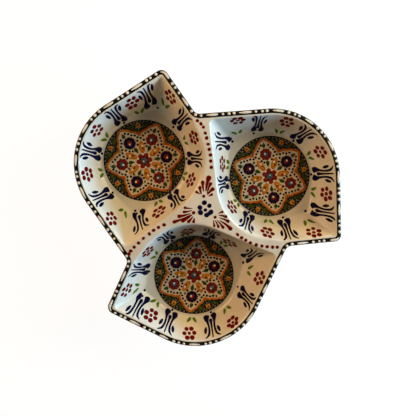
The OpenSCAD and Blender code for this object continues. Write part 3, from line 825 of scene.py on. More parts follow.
# Where the casting's rows stand, as shares of the way: over a well's floor, across the rim or
# ridge, down the outer wall, round its foot, in under the base, and over the base
FLOOR_SHARES, TOP_SHARES = (0.25, 0.5, 0.75, 0.9), (0.33, 0.67, 1.0)
OUTER_SHARES, FOOT_SHARES = (0.2, 0.4, 0.6, 0.8, 0.93), (0.35, 0.7, 1.0)
SOLE_SHARES, BASE_SHARES = (0.3, 0.6, 1.0), (0.7, 0.4)
# Rows round a curve and up a wall
ROUND_N, WALL_N = 8, 10
# A shoulder, and a wall under a ridge, keep within these shares of the way to what they face
SHOULDER_SHARE, HUNG_SHARE = 0.6, 0.8
# The outer wall's first row stands this share of its way down, and the foot's curve ends this far
# inside the floor's edge
SIDE_SHARE, FOOT_IN = 0.12, 2.5

OUT = unit(BRIM - WELL_P)
EDGE_REACH = floor_reach(np.linalg.norm(BRIM - WELL_P, axis=1))[:, None]
AWAY = at_z(FACING - BRIM, 0.0)
AWAY_L = np.linalg.norm(AWAY, axis=1)[:, None]


def at_reach(reach, z):
    """A closed line round a well's middle."""
    return at_z(WELL_P + OUT * reach, z)


def inside_rows():
    """Over a well's floor, up its wall and over the shoulder to the rim's crest or the ridge's middle."""
    edge, top = at_reach(EDGE_REACH, FLOOR_Z), at_z(BRIM, RIM_Z)
    up = unit(top - edge)
    place = np.arange(LOOP_N)
    along_ridge = np.clip(np.minimum(place - OUTLINE_N, LOOP_N - place), 0, SOFTEN_N) / SOFTEN_N
    shoulder = blend(SHOULDER_R, RIDGE_SHOULDER_R, along_ridge)[:, None]
    lip = top + AWAY / AWAY_L * np.minimum(shoulder, AWAY_L * SHOULDER_SHARE)
    inner = edge - at_z(OUT, 0.0) * CREASE_R
    low, high = edge + up * CREASE_R, top - up * shoulder
    rows = [at_reach((EDGE_REACH - CREASE_R) * share, FLOOR_Z) for share in FLOOR_SHARES]
    rows += [bend(inner, edge, low, t) for t in np.linspace(0, 1, ROUND_N)]
    rows += [blend(low, high, t) for t in np.linspace(0, 1, WALL_N)[1:-1]]
    rows += [bend(high, top, lip, t) for t in np.linspace(0, 1, ROUND_N)]
    return rows + [blend(lip, at_z(FACING, RIM_Z), share) for share in TOP_SHARES]


def outside_rows():
    """From the rim's lower edge, or under a ridge, down a well's outer wall and in under its base."""
    on_rim = np.arange(LOOP_N) <= OUTLINE_N
    under = outline_third(UNDER_BEVEL)
    under = np.concatenate([under, [turned(under[0], THIRD)], FACING[OUTLINE_N + 1:]])
    hem = at_z(under, RIM_Z - np.where(on_rim, LIP_H, WEB_T))
    foot = at_reach(EDGE_REACH + BASE_T, FOOT_Z + BASE_BEVEL)
    sole = at_reach(EDGE_REACH + BASE_T - BASE_BEVEL, FOOT_Z)
    hung = at_z(BRIM, RIM_Z - WEB_T) + AWAY / AWAY_L * np.minimum(WALL_T, AWAY_L * HUNG_SHARE)
    side = np.where(on_rim[:, None], blend(hem, foot, SIDE_SHARE), hung)
    low, turn = blend(side, foot, OUTER_SHARES[-1]), blend(foot, sole, 0.5)
    rows = [hem, side] + [blend(side, foot, share) for share in OUTER_SHARES]
    rows += [bend(low, foot, turn, share) for share in FOOT_SHARES]
    rows += [bend(turn, sole, at_reach(EDGE_REACH - FOOT_IN, FOOT_Z), share) for share in SOLE_SHARES]
    return rows + [at_reach(EDGE_REACH * share, FOOT_Z) for share in BASE_SHARES]


def rim_rows():
    """Round the rim's outer edge and down its side to its lower edge."""
    turn = np.radians(90 * np.linspace(0, 1, ROUND_N + 1))
    profile = [(EDGE_R * (1 - math.sin(a)), RIM_Z - EDGE_R * (1 - math.cos(a))) for a in turn]
    profile += [(0, RIM_Z - BAND_DROP), (UNDER_BEVEL, RIM_Z - LIP_H)]
    return [at_z(outline(depth), z) for depth, z in profile]


class BOWL_OT_casting(bpy.types.Operator):
    """Makes the one-piece casting with its three wells, ridges and rim"""
    bl_idname = "bowl.casting"
    bl_label = "Casting"

    def execute(self, context):
        shells = []
        for well in range(3):
            for rows, poles in ((inside_rows(), (at_z(WELL_P, FLOOR_Z), None)),
                                (outside_rows(), (None, at_z(WELL_P, FOOT_Z)))):
                made, joined = stacked(rows, poles)
                shells.append((placed_3d(made, well), joined))
        shells.append(stacked(rim_rows()))
        points, faces, count = [], [], 0
        for made, joined in shells:
            points.append(made)
            faces += [tuple(i + count for i in face) for face in joined]
            count += len(made)

        mesh = solid_mesh("bowl_casting", shaped(np.concatenate(points)), faces)
        work = bmesh.new()
        work.from_mesh(mesh)
        bmesh.ops.remove_doubles(work, verts=work.verts, dist=10 * SAME_POINT)
        bmesh.ops.dissolve_degenerate(work, edges=work.edges, dist=SAME_POINT / 10)
        work.to_mesh(mesh)
        work.free()
        settle(put("bowl_casting", mesh), "glaze", ["clay_body"])
        return {"FINISHED"}


class BOWL_OT_foot_rings(bpy.types.Operator):
    """Gives the three bare foot rings their clay"""
    bl_idname = "bowl.foot_rings"
    bl_label = "Foot rings"

    def execute(self, context):
        for well in WELLS:
            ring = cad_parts["foot_ring_" + well]
            if not ring.material_slots:
                ring.data.materials.append(finish_of("clay"))
            for slot in ring.material_slots:
                slot.material = finish_of("clay")
        return {"FINISHED"}


# The rim band's section in millimetres outwards and up: from its upper edge, from its lower edge,
# and, for its back that the clay hides, from the outline at the rim's height
BAND_RISE = 0.28
BAND_UPPER_EDGE = ((-0.1, -0.1), (0.0, 0.12), (0.35, BAND_RISE))
BAND_LOWER_EDGE = ((BAND_RISE, 0.3), (0.1, 0.0), (-0.3, 0.4))
BAND_BACK = ((-0.4, -1.6), (-1.6, -0.4))
BAND_ROUND_N = 6
# The marks run along the band at this share of its width, sunk this deep into it
ROAD_SHARE, MARK_SINK, MARK_RELIEF = 0.42, 0.05, 0.36
# A bead's half width and how far it varies, and how far beads stray as a share of their gap
BEAD_R, BEAD_VARY, STRAY_SHARE = 1.3, 0.14, 0.09
# A dash's half width at even steps, and how far its length varies as a share
DASH_REACHES, DASH_VARY_SHARE = (0.6, 0.95, 1.15, 1.1, 0.9, 0.65, 0.4), 0.12
BEAD_STEP, DASH_STEP = 0.7, 1.0


def band_section():
    """The points of the rim band's section."""
    arc = np.radians(90 * np.linspace(0, 1, BAND_ROUND_N))
    across = EDGE_R + BAND_RISE
    crown = [(BAND_RISE - across * (1 - math.sin(a)), BAND_RISE - across * (1 - math.cos(a))) for a in arc]
    upper = [(-BAND_W + x, y) for x, y in BAND_UPPER_EDGE]
    lower = [(x, -BAND_DROP + y) for x, y in BAND_LOWER_EDGE]
    return upper + crown + lower + list(BAND_BACK)


class BOWL_OT_rim(bpy.types.Operator):
    """Makes the black band round the rim and the white dots and dashes on it"""
    bl_idname = "bowl.rim"
    bl_label = "Rim band"

    def execute(self, context):
        section = [(x, -y, 0) for x, y in band_section()]
        holder = put("band section", point_mesh("band section", section, closed_edges(len(section))))
        path = outline(0.0)
        ahead = unit(np.roll(path, -1, 0) - np.roll(path, 1, 0))
        outward = np.stack([ahead[:, 1], -ahead[:, 0]], -1)
        mesh = point_mesh("rim_band_enamel", shaped(at_z(path, RIM_Z)), closed_edges(len(path)),
                          {"facing": at_z(outward, 0.0)})
        grown("rim_band_enamel", mesh, band_tree, {"Section": holder}, "black", ["rim_band"])
        bpy.data.objects.remove(holder)

        road = outline(BAND_W * ROAD_SHARE)
        road = np.concatenate([road, road[:1]])
        along = lengths(road)
        marks = Strokes()

        def mark(places, reaches, step):
            flat = at_lengths(road, along, places % along[-1])
            line, reach = along_points(shaped(at_z(flat, RIM_Z + BAND_RISE - MARK_SINK)), reaches, step)
            marks.add(line, UPWARDS, reach)

        # The sines vary the marks as a hand would, alike in every run
        groups = context.scene.bowl_shape.rim_groups
        pitch = along[-1] / groups
        for group in range(groups):
            for bead in (-1, 0, 1):
                place = group * pitch + (bead + STRAY_SHARE * math.sin(7 * group + 3 * bead)) * BEAD_GAP
                size = BEAD_R + BEAD_VARY * math.sin(5 * group + 2 * bead)
                mark(place + size * np.array([-1, 0, 1]), [size] * 3, BEAD_STEP)
            half = DASH_L / 2 * (1 + DASH_VARY_SHARE * math.sin(11 * group))
            places = (group + 0.5) * pitch + half * np.linspace(-1, 1, len(DASH_REACHES))
            mark(places, DASH_REACHES, DASH_STEP)
        marks.make("rim_marks_enamel", "white", MARK_RELIEF, ["rim_beads"])
        return {"FINISHED"}


# Dots along the three ridges, in the frame of the well beside them
RIDGE_DOTS = (
    (0, ((25.6, 76.3), (27.6, 72.5), (28.5, 68.8), (28.0, 63.1), (27.4, 58.5), (26.4, 52.8), (25.6, 48.0),
         (24.6, 42.9), (22.6, 37.6), (20.8, 32.1))),
    (2, ((28.4, 73.0), (28.9, 68.6), (29.0, 63.4), (29.0, 58.4), (28.5, 53.0), (27.2, 47.2), (25.2, 42.6),
         (23.5, 38.4), (21.0, 34.3))),
    (2, ((20.0, -35.0), (23.0, -39.8), (26.2, -44.0), (30.0, -47.5), (34.8, -52.5), (39.7, -56.5),
         (44.0, -60.0), (48.0, -62.8), (51.0, -64.0))),
)
# The sprays' strokes and base dots in the right well's frame: from a fine tail to a round head
SPRAY_STROKES = (
    ((2.0, -14.8), (2.0, -19.5), 1.2), ((4.2, -15.2), (5.3, -21.8), 1.2), ((6.5, -16.4), (9.2, -24.2), 1.35),
    ((10.0, -18.4), (15.3, -28.2), 1.7), ((11.0, -15.0), (16.0, -20.8), 1.35),
    ((11.5, -11.5), (15.6, -15.8), 1.5),
    ((11.8, -9.2), (14.4, -10.2), 1.3),
    ((0.6, 14.8), (-0.9, 16.8), 1.5), ((2.0, 13.4), (3.9, 19.2), 1.7), ((6.2, 15.8), (8.4, 22.8), 1.6),
    ((9.0, 15.2), (15.4, 24.4), 2.2), ((9.4, 12.0), (14.6, 18.6), 1.5), ((8.8, 10.2), (14.4, 13.0), 1.9),
    ((9.4, 7.6), (11.4, 8.6), 1.5),
    ((-9.8, 5.6), (-16.6, 7.4), 1.2), ((-11.5, 3.4), (-19.0, 4.0), 1.3), ((-15.0, 0.6), (-25.0, 2.2), 1.6),
    ((-13.4, -2.0), (-23.4, -3.2), 1.6), ((-15.0, -1.2), (-31.2, -0.9), 1.4),
    ((-13.4, -4.6), (-18.6, -6.0), 1.6), ((-12.6, -7.0), (-14.2, -8.0), 1.7),
)
SPRAY_DOTS = ((3.8, 10.2, 1.5), (6.0, -12.0, 1.5), (-10.8, -0.3, 1.7))
ROSETTE_DOTS = ((2.0, 4.4, 2.2), (-3.5, 1.9, 2.2), (-4.8, -2.6, 2.3), (5.2, 0.0, 1.95), (0.2, -2.2, 1.6),
                (-0.6, -7.1, 2.1), (4.2, -6.1, 2.3), (1.8, -6.8, 1.9))
RIDGE_DOT_SIZE = (1.75, 1.55)
# A spray's stroke: its half width at tail, middle and head as shares, how far its tail reaches
# to the next base dot and its head outwards, and how far it bows
SPRAY_TAPER_SHARES = np.array([0.3, 0.62, 1.3])
TAIL_SHARE, HEAD_SHARE, BOW_SHARE = 0.3, 0.75, 0.04
SPRAY_STEP = 1.6
# The middle rosette's dots, as shares of their radius and of the dots' height
ROSETTE_SHARES = (1.12, 1.05, 1.2)


def on_ridge(place, well=0):
    """A place in a well's own frame, on the flat of the ridges."""
    return shaped(at_z(placed(np.array(place), well), RIM_Z))


class BOWL_OT_ridges(bpy.types.Operator):
    """Makes the dots, sprays and middle rosette on the flat ridges"""
    bl_idname = "bowl.ridges"
    bl_label = "Ridge ornament"

    def execute(self, context):
        height = context.scene.bowl_shape.dot_height / MM
        dots = Drops()
        for i, (well, places) in enumerate(RIDGE_DOTS):
            for j, place in enumerate(places):
                ahead = (math.cos(3 * i + 5 * j), math.sin(3 * i + 5 * j), 0)
                dots.add(on_ridge(place, well), UPWARDS, ahead, (*RIDGE_DOT_SIZE, height))
        dots.make("ridge_dots_enamel", "red", ["ridge_dots"], seed=5, unevenness=0.1)

        strokes = Strokes()
        bases = np.array(SPRAY_DOTS)[:, :2]
        for tail, head, width in SPRAY_STROKES:
            tail, head = np.array(tail), np.array(head)
            nearest = bases[np.argmin(np.linalg.norm(bases - tail, axis=1))]
            tail = blend(tail, nearest, TAIL_SHARE)
            head = head + unit(head - tail) * width * HEAD_SHARE
            along = head - tail
            middle = blend(tail, head, 0.5) + np.array([-along[1], along[0]]) * BOW_SHARE
            line, reach = along_points([tail, middle, head], width * SPRAY_TAPER_SHARES, SPRAY_STEP)
            strokes.add(on_ridge(line), UPWARDS, reach)
        for x, y, r in SPRAY_DOTS:
            line, reach = along_points(dot_points((x, y), r, 40 * x), [r] * 3, r / 2)
            strokes.add(on_ridge(line), UPWARDS, reach)
        strokes.make("ridge_sprays_enamel", "red", context.scene.bowl_shape.stroke_relief, ["centre_sprays"])

        rosette = Drops()
        long, wide, tall = ROSETTE_SHARES
        for x, y, r in ROSETTE_DOTS:
            rosette.add(on_ridge((x, y)), UPWARDS, (1, 0.3 * x, 0), (r * long, r * wide, height * tall))
        rosette.make("middle_rosette_enamel", "navy", ["centre_rosette"], segments=16, rings=8)
        return {"FINISHED"}


# A tulip's strokes: millimetres across and up the wall, and half width at each point
TULIP_SIDE = ((3.7, -0.2, 1.7), (4.0, 2.0, 2.5), (4.1, 4.6, 2.9), (4.1, 7.4, 2.4), (3.8, 10.2, 1.5),
              (3.3, 14.0, 1.1), (2.9, 20.0, 1.0), (3.2, 26.5, 1.15), (4.4, 31.8, 1.25), (7.8, 35.8, 0.8))
TULIP_HOOK = ((1.4, 4.4, 0.7), (1.7, 2.4, 1.0), (2.8, 1.1, 1.4))
TULIP_MIDDLE = ((0.0, 6.8, 1.4), (0.0, 10.0, 1.85), (0.0, 14.5, 1.2), (-0.1, 22.0, 0.9), (-0.3, 36.0, 0.65))
TULIP_DROPS = (((-6.0, 18.2, 0.8), (-6.7, 23.2, 1.65), (-7.5, 28.6, 1.0)),
               ((5.7, 20.8, 0.8), (6.6, 25.6, 1.65), (7.6, 30.8, 1.0)))
TULIP_STEP, TULIP_LOWEST = 1.4, -1.0
# The width over which a tulip's rise is measured, and the height at which it has leant as far as given
RISE_OVER, LEAN_OVER = 10, 35
BUD_R, BUD_LOWEST = 1.3, -1.8
# Each well's tulips: angle, start up the wall, lean of the tails in degrees, stretch, spread, rise
# towards larger angles, way round, and the bud's angle and height
TULIPS = (
    ((32.5, -1, -2.5, 1.0, 1.0, 0, 1, 33.5, -3.5), (84, 3, -4, 0.92, 0.9, 4, 1, 88, 0.5),
     (118.4, -0.5, 8, 0.88, 0.95, -2, -1, 114.5, -4), (165.5, -3.5, -1, 0.92, 0.97, 0, 1, 163, -5),
     (219, -3, -1, 1.0, 0.97, 0, 1, 217.5, -5), (264.7, 0, -1.5, 1.0, 0.95, 0, 1, 265.5, -2.5),
     (298, 3, 8, 1.0, 0.92, -4, -1, 293, -1.5), (340, -0.5, 1, 1.0, 1.0, 0, -1, 339.3, -3)),
    ((28.7, -2, -3, 1.05, 1.0, 0, 1, 27.5, -4), (80, 1, -5, 1.0, 0.98, 1, 1, 82, 0.3),
     (120.0, -0.5, 7, 0.88, 0.96, -2, -1, 116, -4), (167.5, -2, -0.5, 0.9, 1.0, 0, 1, 165, -5),
     (220, -2, -0.5, 0.98, 0.98, 0, 1, 219.5, -4), (264.3, 0, -0.5, 1.02, 0.95, 0, 1, 266, -3),
     (298.2, 4.5, 7, 1.0, 0.95, -4, -1, 292.5, 2), (337, -2, 0.5, 1.08, 1.0, 0, -1, 335, -4)),
    ((28, -0.5, -2.5, 0.97, 0.97, 0, 1, 31, -3), (80, 6, -4, 0.85, 0.94, 1, 1, 82, 1.5),
     (115, 2, 9, 0.82, 0.85, -4, -1, 111.5, 0), (167, -3, 0, 0.85, 1.0, 0, 1, 165, -5),
     (220.5, -3, -0.5, 0.95, 1.02, 0, 1, 219, -5), (268.5, 0, -3, 1.0, 0.88, 0, 1, 271.5, -0.7),
     (298, 3.5, 7, 1.0, 0.92, -4, -1, 293.5, 0), (336, -2, 0, 1.0, 1.0, 0, 1, 335, -4)),
)
# Each well's rosettes: angle, height up the wall, stretch up the wall
ROSETTES = (
    ((5, 22, 1), (53.5, 25, 1), (99.5, 32, 0.7), (142.5, 13, 0.8), (194, 15, 1), (242, 25, 1),
     (284, 31, 0.8), (320, 23, 0.95)),
    ((3, 23, 1), (50, 25, 1), (97.5, 29.5, 0.8), (143.5, 17, 0.9), (195, 16, 0.95), (242, 25, 1),
     (283.5, 30.5, 0.75), (317.3, 24, 1)),
    ((1.5, 25, 1), (49, 28.5, 0.85), (99, 30.5, 0.85), (142, 12, 0.85), (194.5, 9, 1), (244.5, 24, 1),
     (284.5, 30, 0.8), (316.5, 22, 1)),
)
# A rosette: the ring its petals stand on, a petal, and its heart, all half across and half up
PETAL_RING, PETAL, HEART = (5.5, 7.7), (2.65, 3.3), (2.1, 2.5)
# Rosettes are narrowed, less so between these angles, on the side towards the bowl's middle
INNER_SIDE, INNER_NARROW, NARROW = (130, 210), 0.97, 0.87
# Each well's leaf pairs: angle and height up the wall
LEAVES = (
    ((4, 3), (56, 3), (104.5, 10.5), (142, -3), (196, -2), (245.5, 4), (286.5, 14.5), (317.5, 3)),
    ((6, 2), (52.5, 1), (104.5, 10), (145, -1), (196, -1), (243, 4), (286, 15), (312, 4)),
    ((4, 4), (51, 7), (104, 12.5), (144, -2), (199, -3), (248.5, 2.5), (286.5, 14), (312, 3)),
)
# A leaf of a pair: millimetres across, share of its way up, and half width at each point
LEAF = ((1.4, 0, 0.9), (2.3, 0.34, 1.65), (3.4, 0.67, 1.45), (4.7, 1, 0.5))
# How far a leaf reaches below its height, above it, and less above it pair by pair
LEAF_DOWN, LEAF_UP, LEAF_LESS, LEAF_LOWEST, LEAF_STEP = 4.0, 4.4, 0.6, -2.3, 1.2
# Ornament keeps this far below the brim
BELOW_BRIM, PETAL_BELOW_BRIM = 1.2, 0.5
# How much enamel rises with the square of its half width over the crease, and how near to it
CREASE_RISE, CREASE_NEAR = 0.11, 4


def over_crease(climb, reach):
    """How much higher enamel of that half width stands where the wall bends into the floor."""
    return CREASE_RISE * reach ** 2 * np.clip(1 - np.abs(climb) / CREASE_NEAR, 0, 1)


def spread_on_wall(turn, across):
    """Angles of points that lie so many millimetres across from a turn, at given heights."""
    x, climb = across[:, 0], across[:, 1]
    foot, brim = wall_ends(turn)
    reach = foot + (brim - foot) * np.clip(climb / wall_length(turn), -0.2, 1)
    return turn + np.degrees(x / reach), climb


def brushed(strokes, well, turn, line, reach, lean=0.0):
    """Lays a stroke on a well's wall, from its points across from a turn and up the wall."""
    angle, climb = spread_on_wall(turn, line)
    angle = angle + lean * np.clip(climb / LEAN_OVER, 0, 1.2)
    climb = np.minimum(climb, wall_length(angle) - BELOW_BRIM)
    point, facing, _ = wall_frame(well, angle, climb)
    strokes.add(point + facing * over_crease(climb, reach)[:, None], facing, reach)


class BOWL_OT_walls(bpy.types.Operator):
    """Makes the brushed tulips, petal rosettes and leaves round the wells' walls"""
    bl_idname = "bowl.walls"
    bl_label = "Wall ornament"

    def tulip(self, strokes, well, turn, start, lean, stretch, spread, rise, way, bud, bud_height):
        """Two hooked sides, a middle stroke and a drop beside each tail, over a round bud."""
        across = np.array([way * spread, 1, (1 + spread) / 2])
        lines = [np.array(line) * (side, 1, 1) for line in (TULIP_SIDE, TULIP_HOOK) for side in (-1, 1)]
        for line in (*lines, TULIP_MIDDLE, *TULIP_DROPS):
            line = np.array(line) * across
            line[:, 1] = max(start, TULIP_LOWEST) + line[:, 1] * stretch + rise * line[:, 0] / RISE_OVER
            line, reach = along_points(line[:, :2], line[:, 2], TULIP_STEP)
            brushed(strokes, well, turn, line, reach, lean)
        bud_at = (0, max(bud_height, BUD_LOWEST))
        line, reach = along_points(dot_points(bud_at, BUD_R), [BUD_R] * 3, BUD_R / 2)
        brushed(strokes, well, bud, line, reach)

    def rosette(self, petals, well, i, turn, height, stretch, thick):
        """Six petals round a heart, each rosette turned its own way."""
        narrow = INNER_NARROW if INNER_SIDE[0] < turn < INNER_SIDE[1] else NARROW
        across, up = PETAL_RING[0] * narrow, PETAL_RING[1] * stretch
        places = [(0, 0, HEART[0] * narrow, HEART[1] * stretch)]
        for j in range(6):
            aim = math.radians(60 * j + (7 * i) % 19 - 8)
            places.append((across * math.cos(aim), up * math.sin(aim), PETAL[0] * narrow, PETAL[1] * stretch))
        for x, y, wide, high in places:
            angle, climb = spread_on_wall(turn, np.array([[x, height + y]]))
            climb = np.minimum(climb, wall_length(angle) - high - PETAL_BELOW_BRIM)
            point, facing, along = (v[0] for v in wall_frame(well, angle, climb))
            petals.add(point + facing * over_crease(climb, high), facing, along, (wide, high, thick))

    def leaf_pair(self, strokes, well, i, turn, height):
        """Two leaves that part upwards from one place."""
        low, high = max(height - LEAF_DOWN, LEAF_LOWEST), height + LEAF_UP - (i % 3) * LEAF_LESS
        for way in (-1, 1):
            line = [(x * way, blend(low, high, share)) for x, share, _ in LEAF]
            line, reach = along_points(line, [width for _, _, width in LEAF], LEAF_STEP)
            brushed(strokes, well, turn, line, reach)

    def execute(self, context):
        shape = context.scene.bowl_shape
        for well, name in enumerate(WELLS):
            tulips, petals, leaves = Strokes(), Drops(), Strokes()
            for values in TULIPS[well]:
                self.tulip(tulips, well, *values)
            for i, values in enumerate(ROSETTES[well]):
                self.rosette(petals, well, i, *values, shape.dot_height / MM)
            for i, values in enumerate(LEAVES[well]):
                self.leaf_pair(leaves, well, i, *values)
            tulips.make("wall_tulips_" + name, "navy", shape.stroke_relief)
            petals.make("wall_rosettes_" + name, "red", segments=16, seed=21 + well, unevenness=0.12)
            leaves.make("wall_leaves_" + name, "green", shape.stroke_relief)
        return {"FINISHED"}


# The star's lobes, from a tip to a notch: shares of the medallion's radius, and angles
STAR = ((0.93, 0), (0.855, 12.5), (0.75, 16.6), (0.756, 22.8), (0.63, 30))
STAR_LINE_W, STAR_LINE_RELIEF = 2.3, 0.42
# The medallion's ground and field from foot to middle: millimetres in from the ground's edge or
# shares of the star, the layer each row stands on, and millimetres above that
GROUND_INNER_R = 20.0
GROUND_ROWS = ((0.2, 0, -0.05), (0, 0, 0.05), (0.05, 1, -0.15), (0.4, 1, -0.02), (1.2, 1, 0),
               (MEDALLION_R - GROUND_INNER_R, 1, 0))
FIELD_ROWS = ((0.99, 1, -0.1), (0.99, 2, -0.05), (0.97, 2, 0), (0.5, 2, 0))
GROUND_STEP = 3.75
# Sizes of a medallion's drops: half length, half width and height in millimetres
DROP_SIZES = {
    "ruff": (5.6, 5.6, 0.3), "boss": (3.3, 3.3, 0.95), "boss bead": (1.3, 1.1, 1.25),
    "bead": (1.15, 1.05, 0.7), "petal mark": (1.7, 0.75, 0.5), "petal bead": (1.15, 1.0, 0.6),
    "disc": (5.5, 5.5, 0.35), "petal": (1.9, 1.6, 0.6), "petal gap": (0.75, 0.75, 0.6),
    "eye": (2.7, 2.7, 0.8), "eye bead": (1.4, 1.2, 1.1),
    "floweret": (2.4, 2.4, 0.45), "floweret eye": (1.1, 1.1, 0.75), "grey dot": (0.85, 0.68, 0.3),
}
# A medallion's strokes: distance from its middle, angle from the stroke's axis, and half width
SMALL_PETAL = ((2.8, 0, 1.5), (5.5, 0, 2.6), (7.9, 0, 1.9))
ALMOND = ((6.9, 0, 0.5), (9.4, 0, 2.2), (13.1, 0, 3.05), (17.0, 0, 2.2), (19.7, 0, 0.4))
ALMOND_CORE = ((8.6, 0, 0.4), (10.6, 0, 1.5), (13.1, 0, 2.05), (15.8, 0, 1.5), (18.2, 0, 0.4))
OUTER_LEAF = ((28.3, 0, 1.3), (30.2, 1, 1.9), (33.4, 0, 0.3))
INNER_LEAF = ((15.4, 0, 1.3), (12.9, -2, 1.9), (9.0, 0, 0.3))
NOTCH_LEAF = ((32.6, 6.5, 1.0), (34.2, 12, 2.1), (36.6, 19, 0.5))
NOTCH_BUD = ((29.3, 3, 0.9), (31.0, 8, 1.6))
MEDALLION_STEP = 1.2
# How much higher the almond petals' cores and marks lie than the petals
CORE_LIFT, MARK_LIFT = 0.35, 0.65
# The flowers: how far out they stand, their radius, and how far in from it their petals and the
# drops between those stand
FLOWER_AT, FLOWER_R, PETAL_IN, PETAL_GAP_IN = 21.65, 6.0, 1.75, 0.55
# How many petals a flower has, and how many degrees the first is turned from the flower's axis
PETALS, PETAL_TURN = 8, 8
# How far out the flowerets, the inner beads and the marks and beads on the almond petals stand, how
# many degrees those are off their axis, and how many a mark is turned
FLOWERET_AT, BEAD_AT, MARK_AT, PETAL_BEAD_AT = 34.6, 6.4, 12.2, 14.6
OFF_AXIS, MARK_TURN = 3, 20
# How far the white beads on the boss and on the flowers' eyes are from the middle of those
BOSS_BEAD_OFF, EYE_BEAD_OFF = 0.8, 0.9
# The dark dots: the gap that they keep, their pitch, and how much narrower they count in that
DOT_GAP, DOT_PITCH, DOT_LESS = 0.2, 3.1, 0.45
# Half widths of those along the star's line and round the flowers and of those between, and height
LINE_DOT_R, FIELD_DOT_R, DOT_H = 1.3, 1.25, 0.35
# How far in from the star's line and how much wider apart they stand, how far out from a flower,
# and how many degrees apart round it
LINE_DOT_IN, LINE_DOT_MORE, FLOWER_DOT_OUT, FLOWER_DOT_TURN = 1.65, 0.15, 1.7, 27.7
FLOWER_DOTS = 13
# The rows between: the space from row to row as a share of the pitch, and rows to each side
ROW_SHARE, ROWS_EACH_WAY = 0.87, 11
# The small grey dots in a notch: distance from the middle, and angle to either side
NOTCH_DOTS = (
    (37.6, 4.5), (37.6, 9.5), (28.0, 0), (31.0, 0), (37.7, 14.6), (36.4, 24.5), (35.0, 18.5),
    (32.2, 14.5), (37.7, 20.5), (35.8, 7.6), (37.6, 0), (37.7, 27.5), (32.4, 3.6), (30.2, 9.8),
)
NOTCH_DOT_ROOM = 0.35
# Heights of a medallion's strokes as shares of their half width
STROKE_RELIEF = {"orange": 0.2, "amber": 0.25, "moss": 0.28, "olive": 0.16, "brick": 0.32}
# The solids that each colour's pieces stand for
STANDS_FOR = {"brick drops": "red_flowers_", "navy drops": "navy_flowers_", "blue drops": "bosses_",
              "orange strokes": "almond_petals_", "moss strokes": "leaves_"}


def star_line(steps=8):
    """The star's outline: each of six lobes a point on two shoulders."""
    tip, bulge, kink, swell, notch = (polar(share * MEDALLION_R, turn) for share, turn in STAR)
    t = np.linspace(0, 1, steps, endpoint=False)[:, None]
    half = np.concatenate([bend(tip, bulge, kink, t), bend(kink, swell, notch, t)])
    back = np.concatenate([[notch], half[:0:-1]]) * (1, -1)
    lobe = np.concatenate([half, turned(back, 60)])
    return np.concatenate([turned(lobe, 60 * i) for i in range(6)])


def moved_in(line, depth):
    """A closed line moved in towards the middle."""
    along = np.roll(line, -1, 0) - np.roll(line, 1, 0)
    return line - unit(np.stack([along[:, 1], -along[:, 0]], -1)) * depth


def stations(line, spacing):
    """Evenly spaced points along a closed line."""
    line = np.concatenate([line, line[:1]])
    along = lengths(line)
    count = round(along[-1] / spacing)
    return at_lengths(line, along, np.arange(count) * along[-1] / count)


class Medallion:
    """One well's medallion: gathers drops and strokes by colour, on its own flat frame."""

    def __init__(self, well):
        self.well = well
        self.turn = MEDALLION_TURNS[well] + WELL_TURN + THIRD * well
        self.drops, self.strokes, self.taken, self.z = {}, {}, [], 0.0

    def lie_on(self, z):
        self.z = z
        self.taken = []

    def at(self, points, z):
        return shaped(at_z(turned(points, self.turn) + CENTRES[self.well], z))

    def drop(self, colour, place, size, aim=0.0, lift=0.0):
        """A drop of a named size, or of sizes of its own."""
        size = DROP_SIZES.get(size, size)
        aim = math.radians(aim + self.turn)
        self.drops.setdefault(colour, Drops()).add(
            self.at(place, self.z + lift), UPWARDS, (math.cos(aim), math.sin(aim), 0.0), size)
        self.taken.append((*place, max(size[:2])))

    def stroke(self, colour, shape, axis, side=1, lift=0.0):
        """A stroke about an axis, or with its angles taken the other way where its side is -1."""
        points = [polar(reach, axis + side * turn) for reach, turn, _ in shape]
        line, reach = along_points(points, [width for _, _, width in shape], MEDALLION_STEP)
        self.strokes.setdefault(colour, Strokes()).add(self.at(line, self.z + lift), UPWARDS, reach)
        self.taken += [(*place, r) for place, r in zip(line, reach)]

    def has_room(self, place, size):
        taken = np.array(self.taken)
        gaps = np.linalg.norm(taken[:, :2] - place, axis=1)
        return bool(np.all(gaps > taken[:, 2] + size + DOT_GAP))


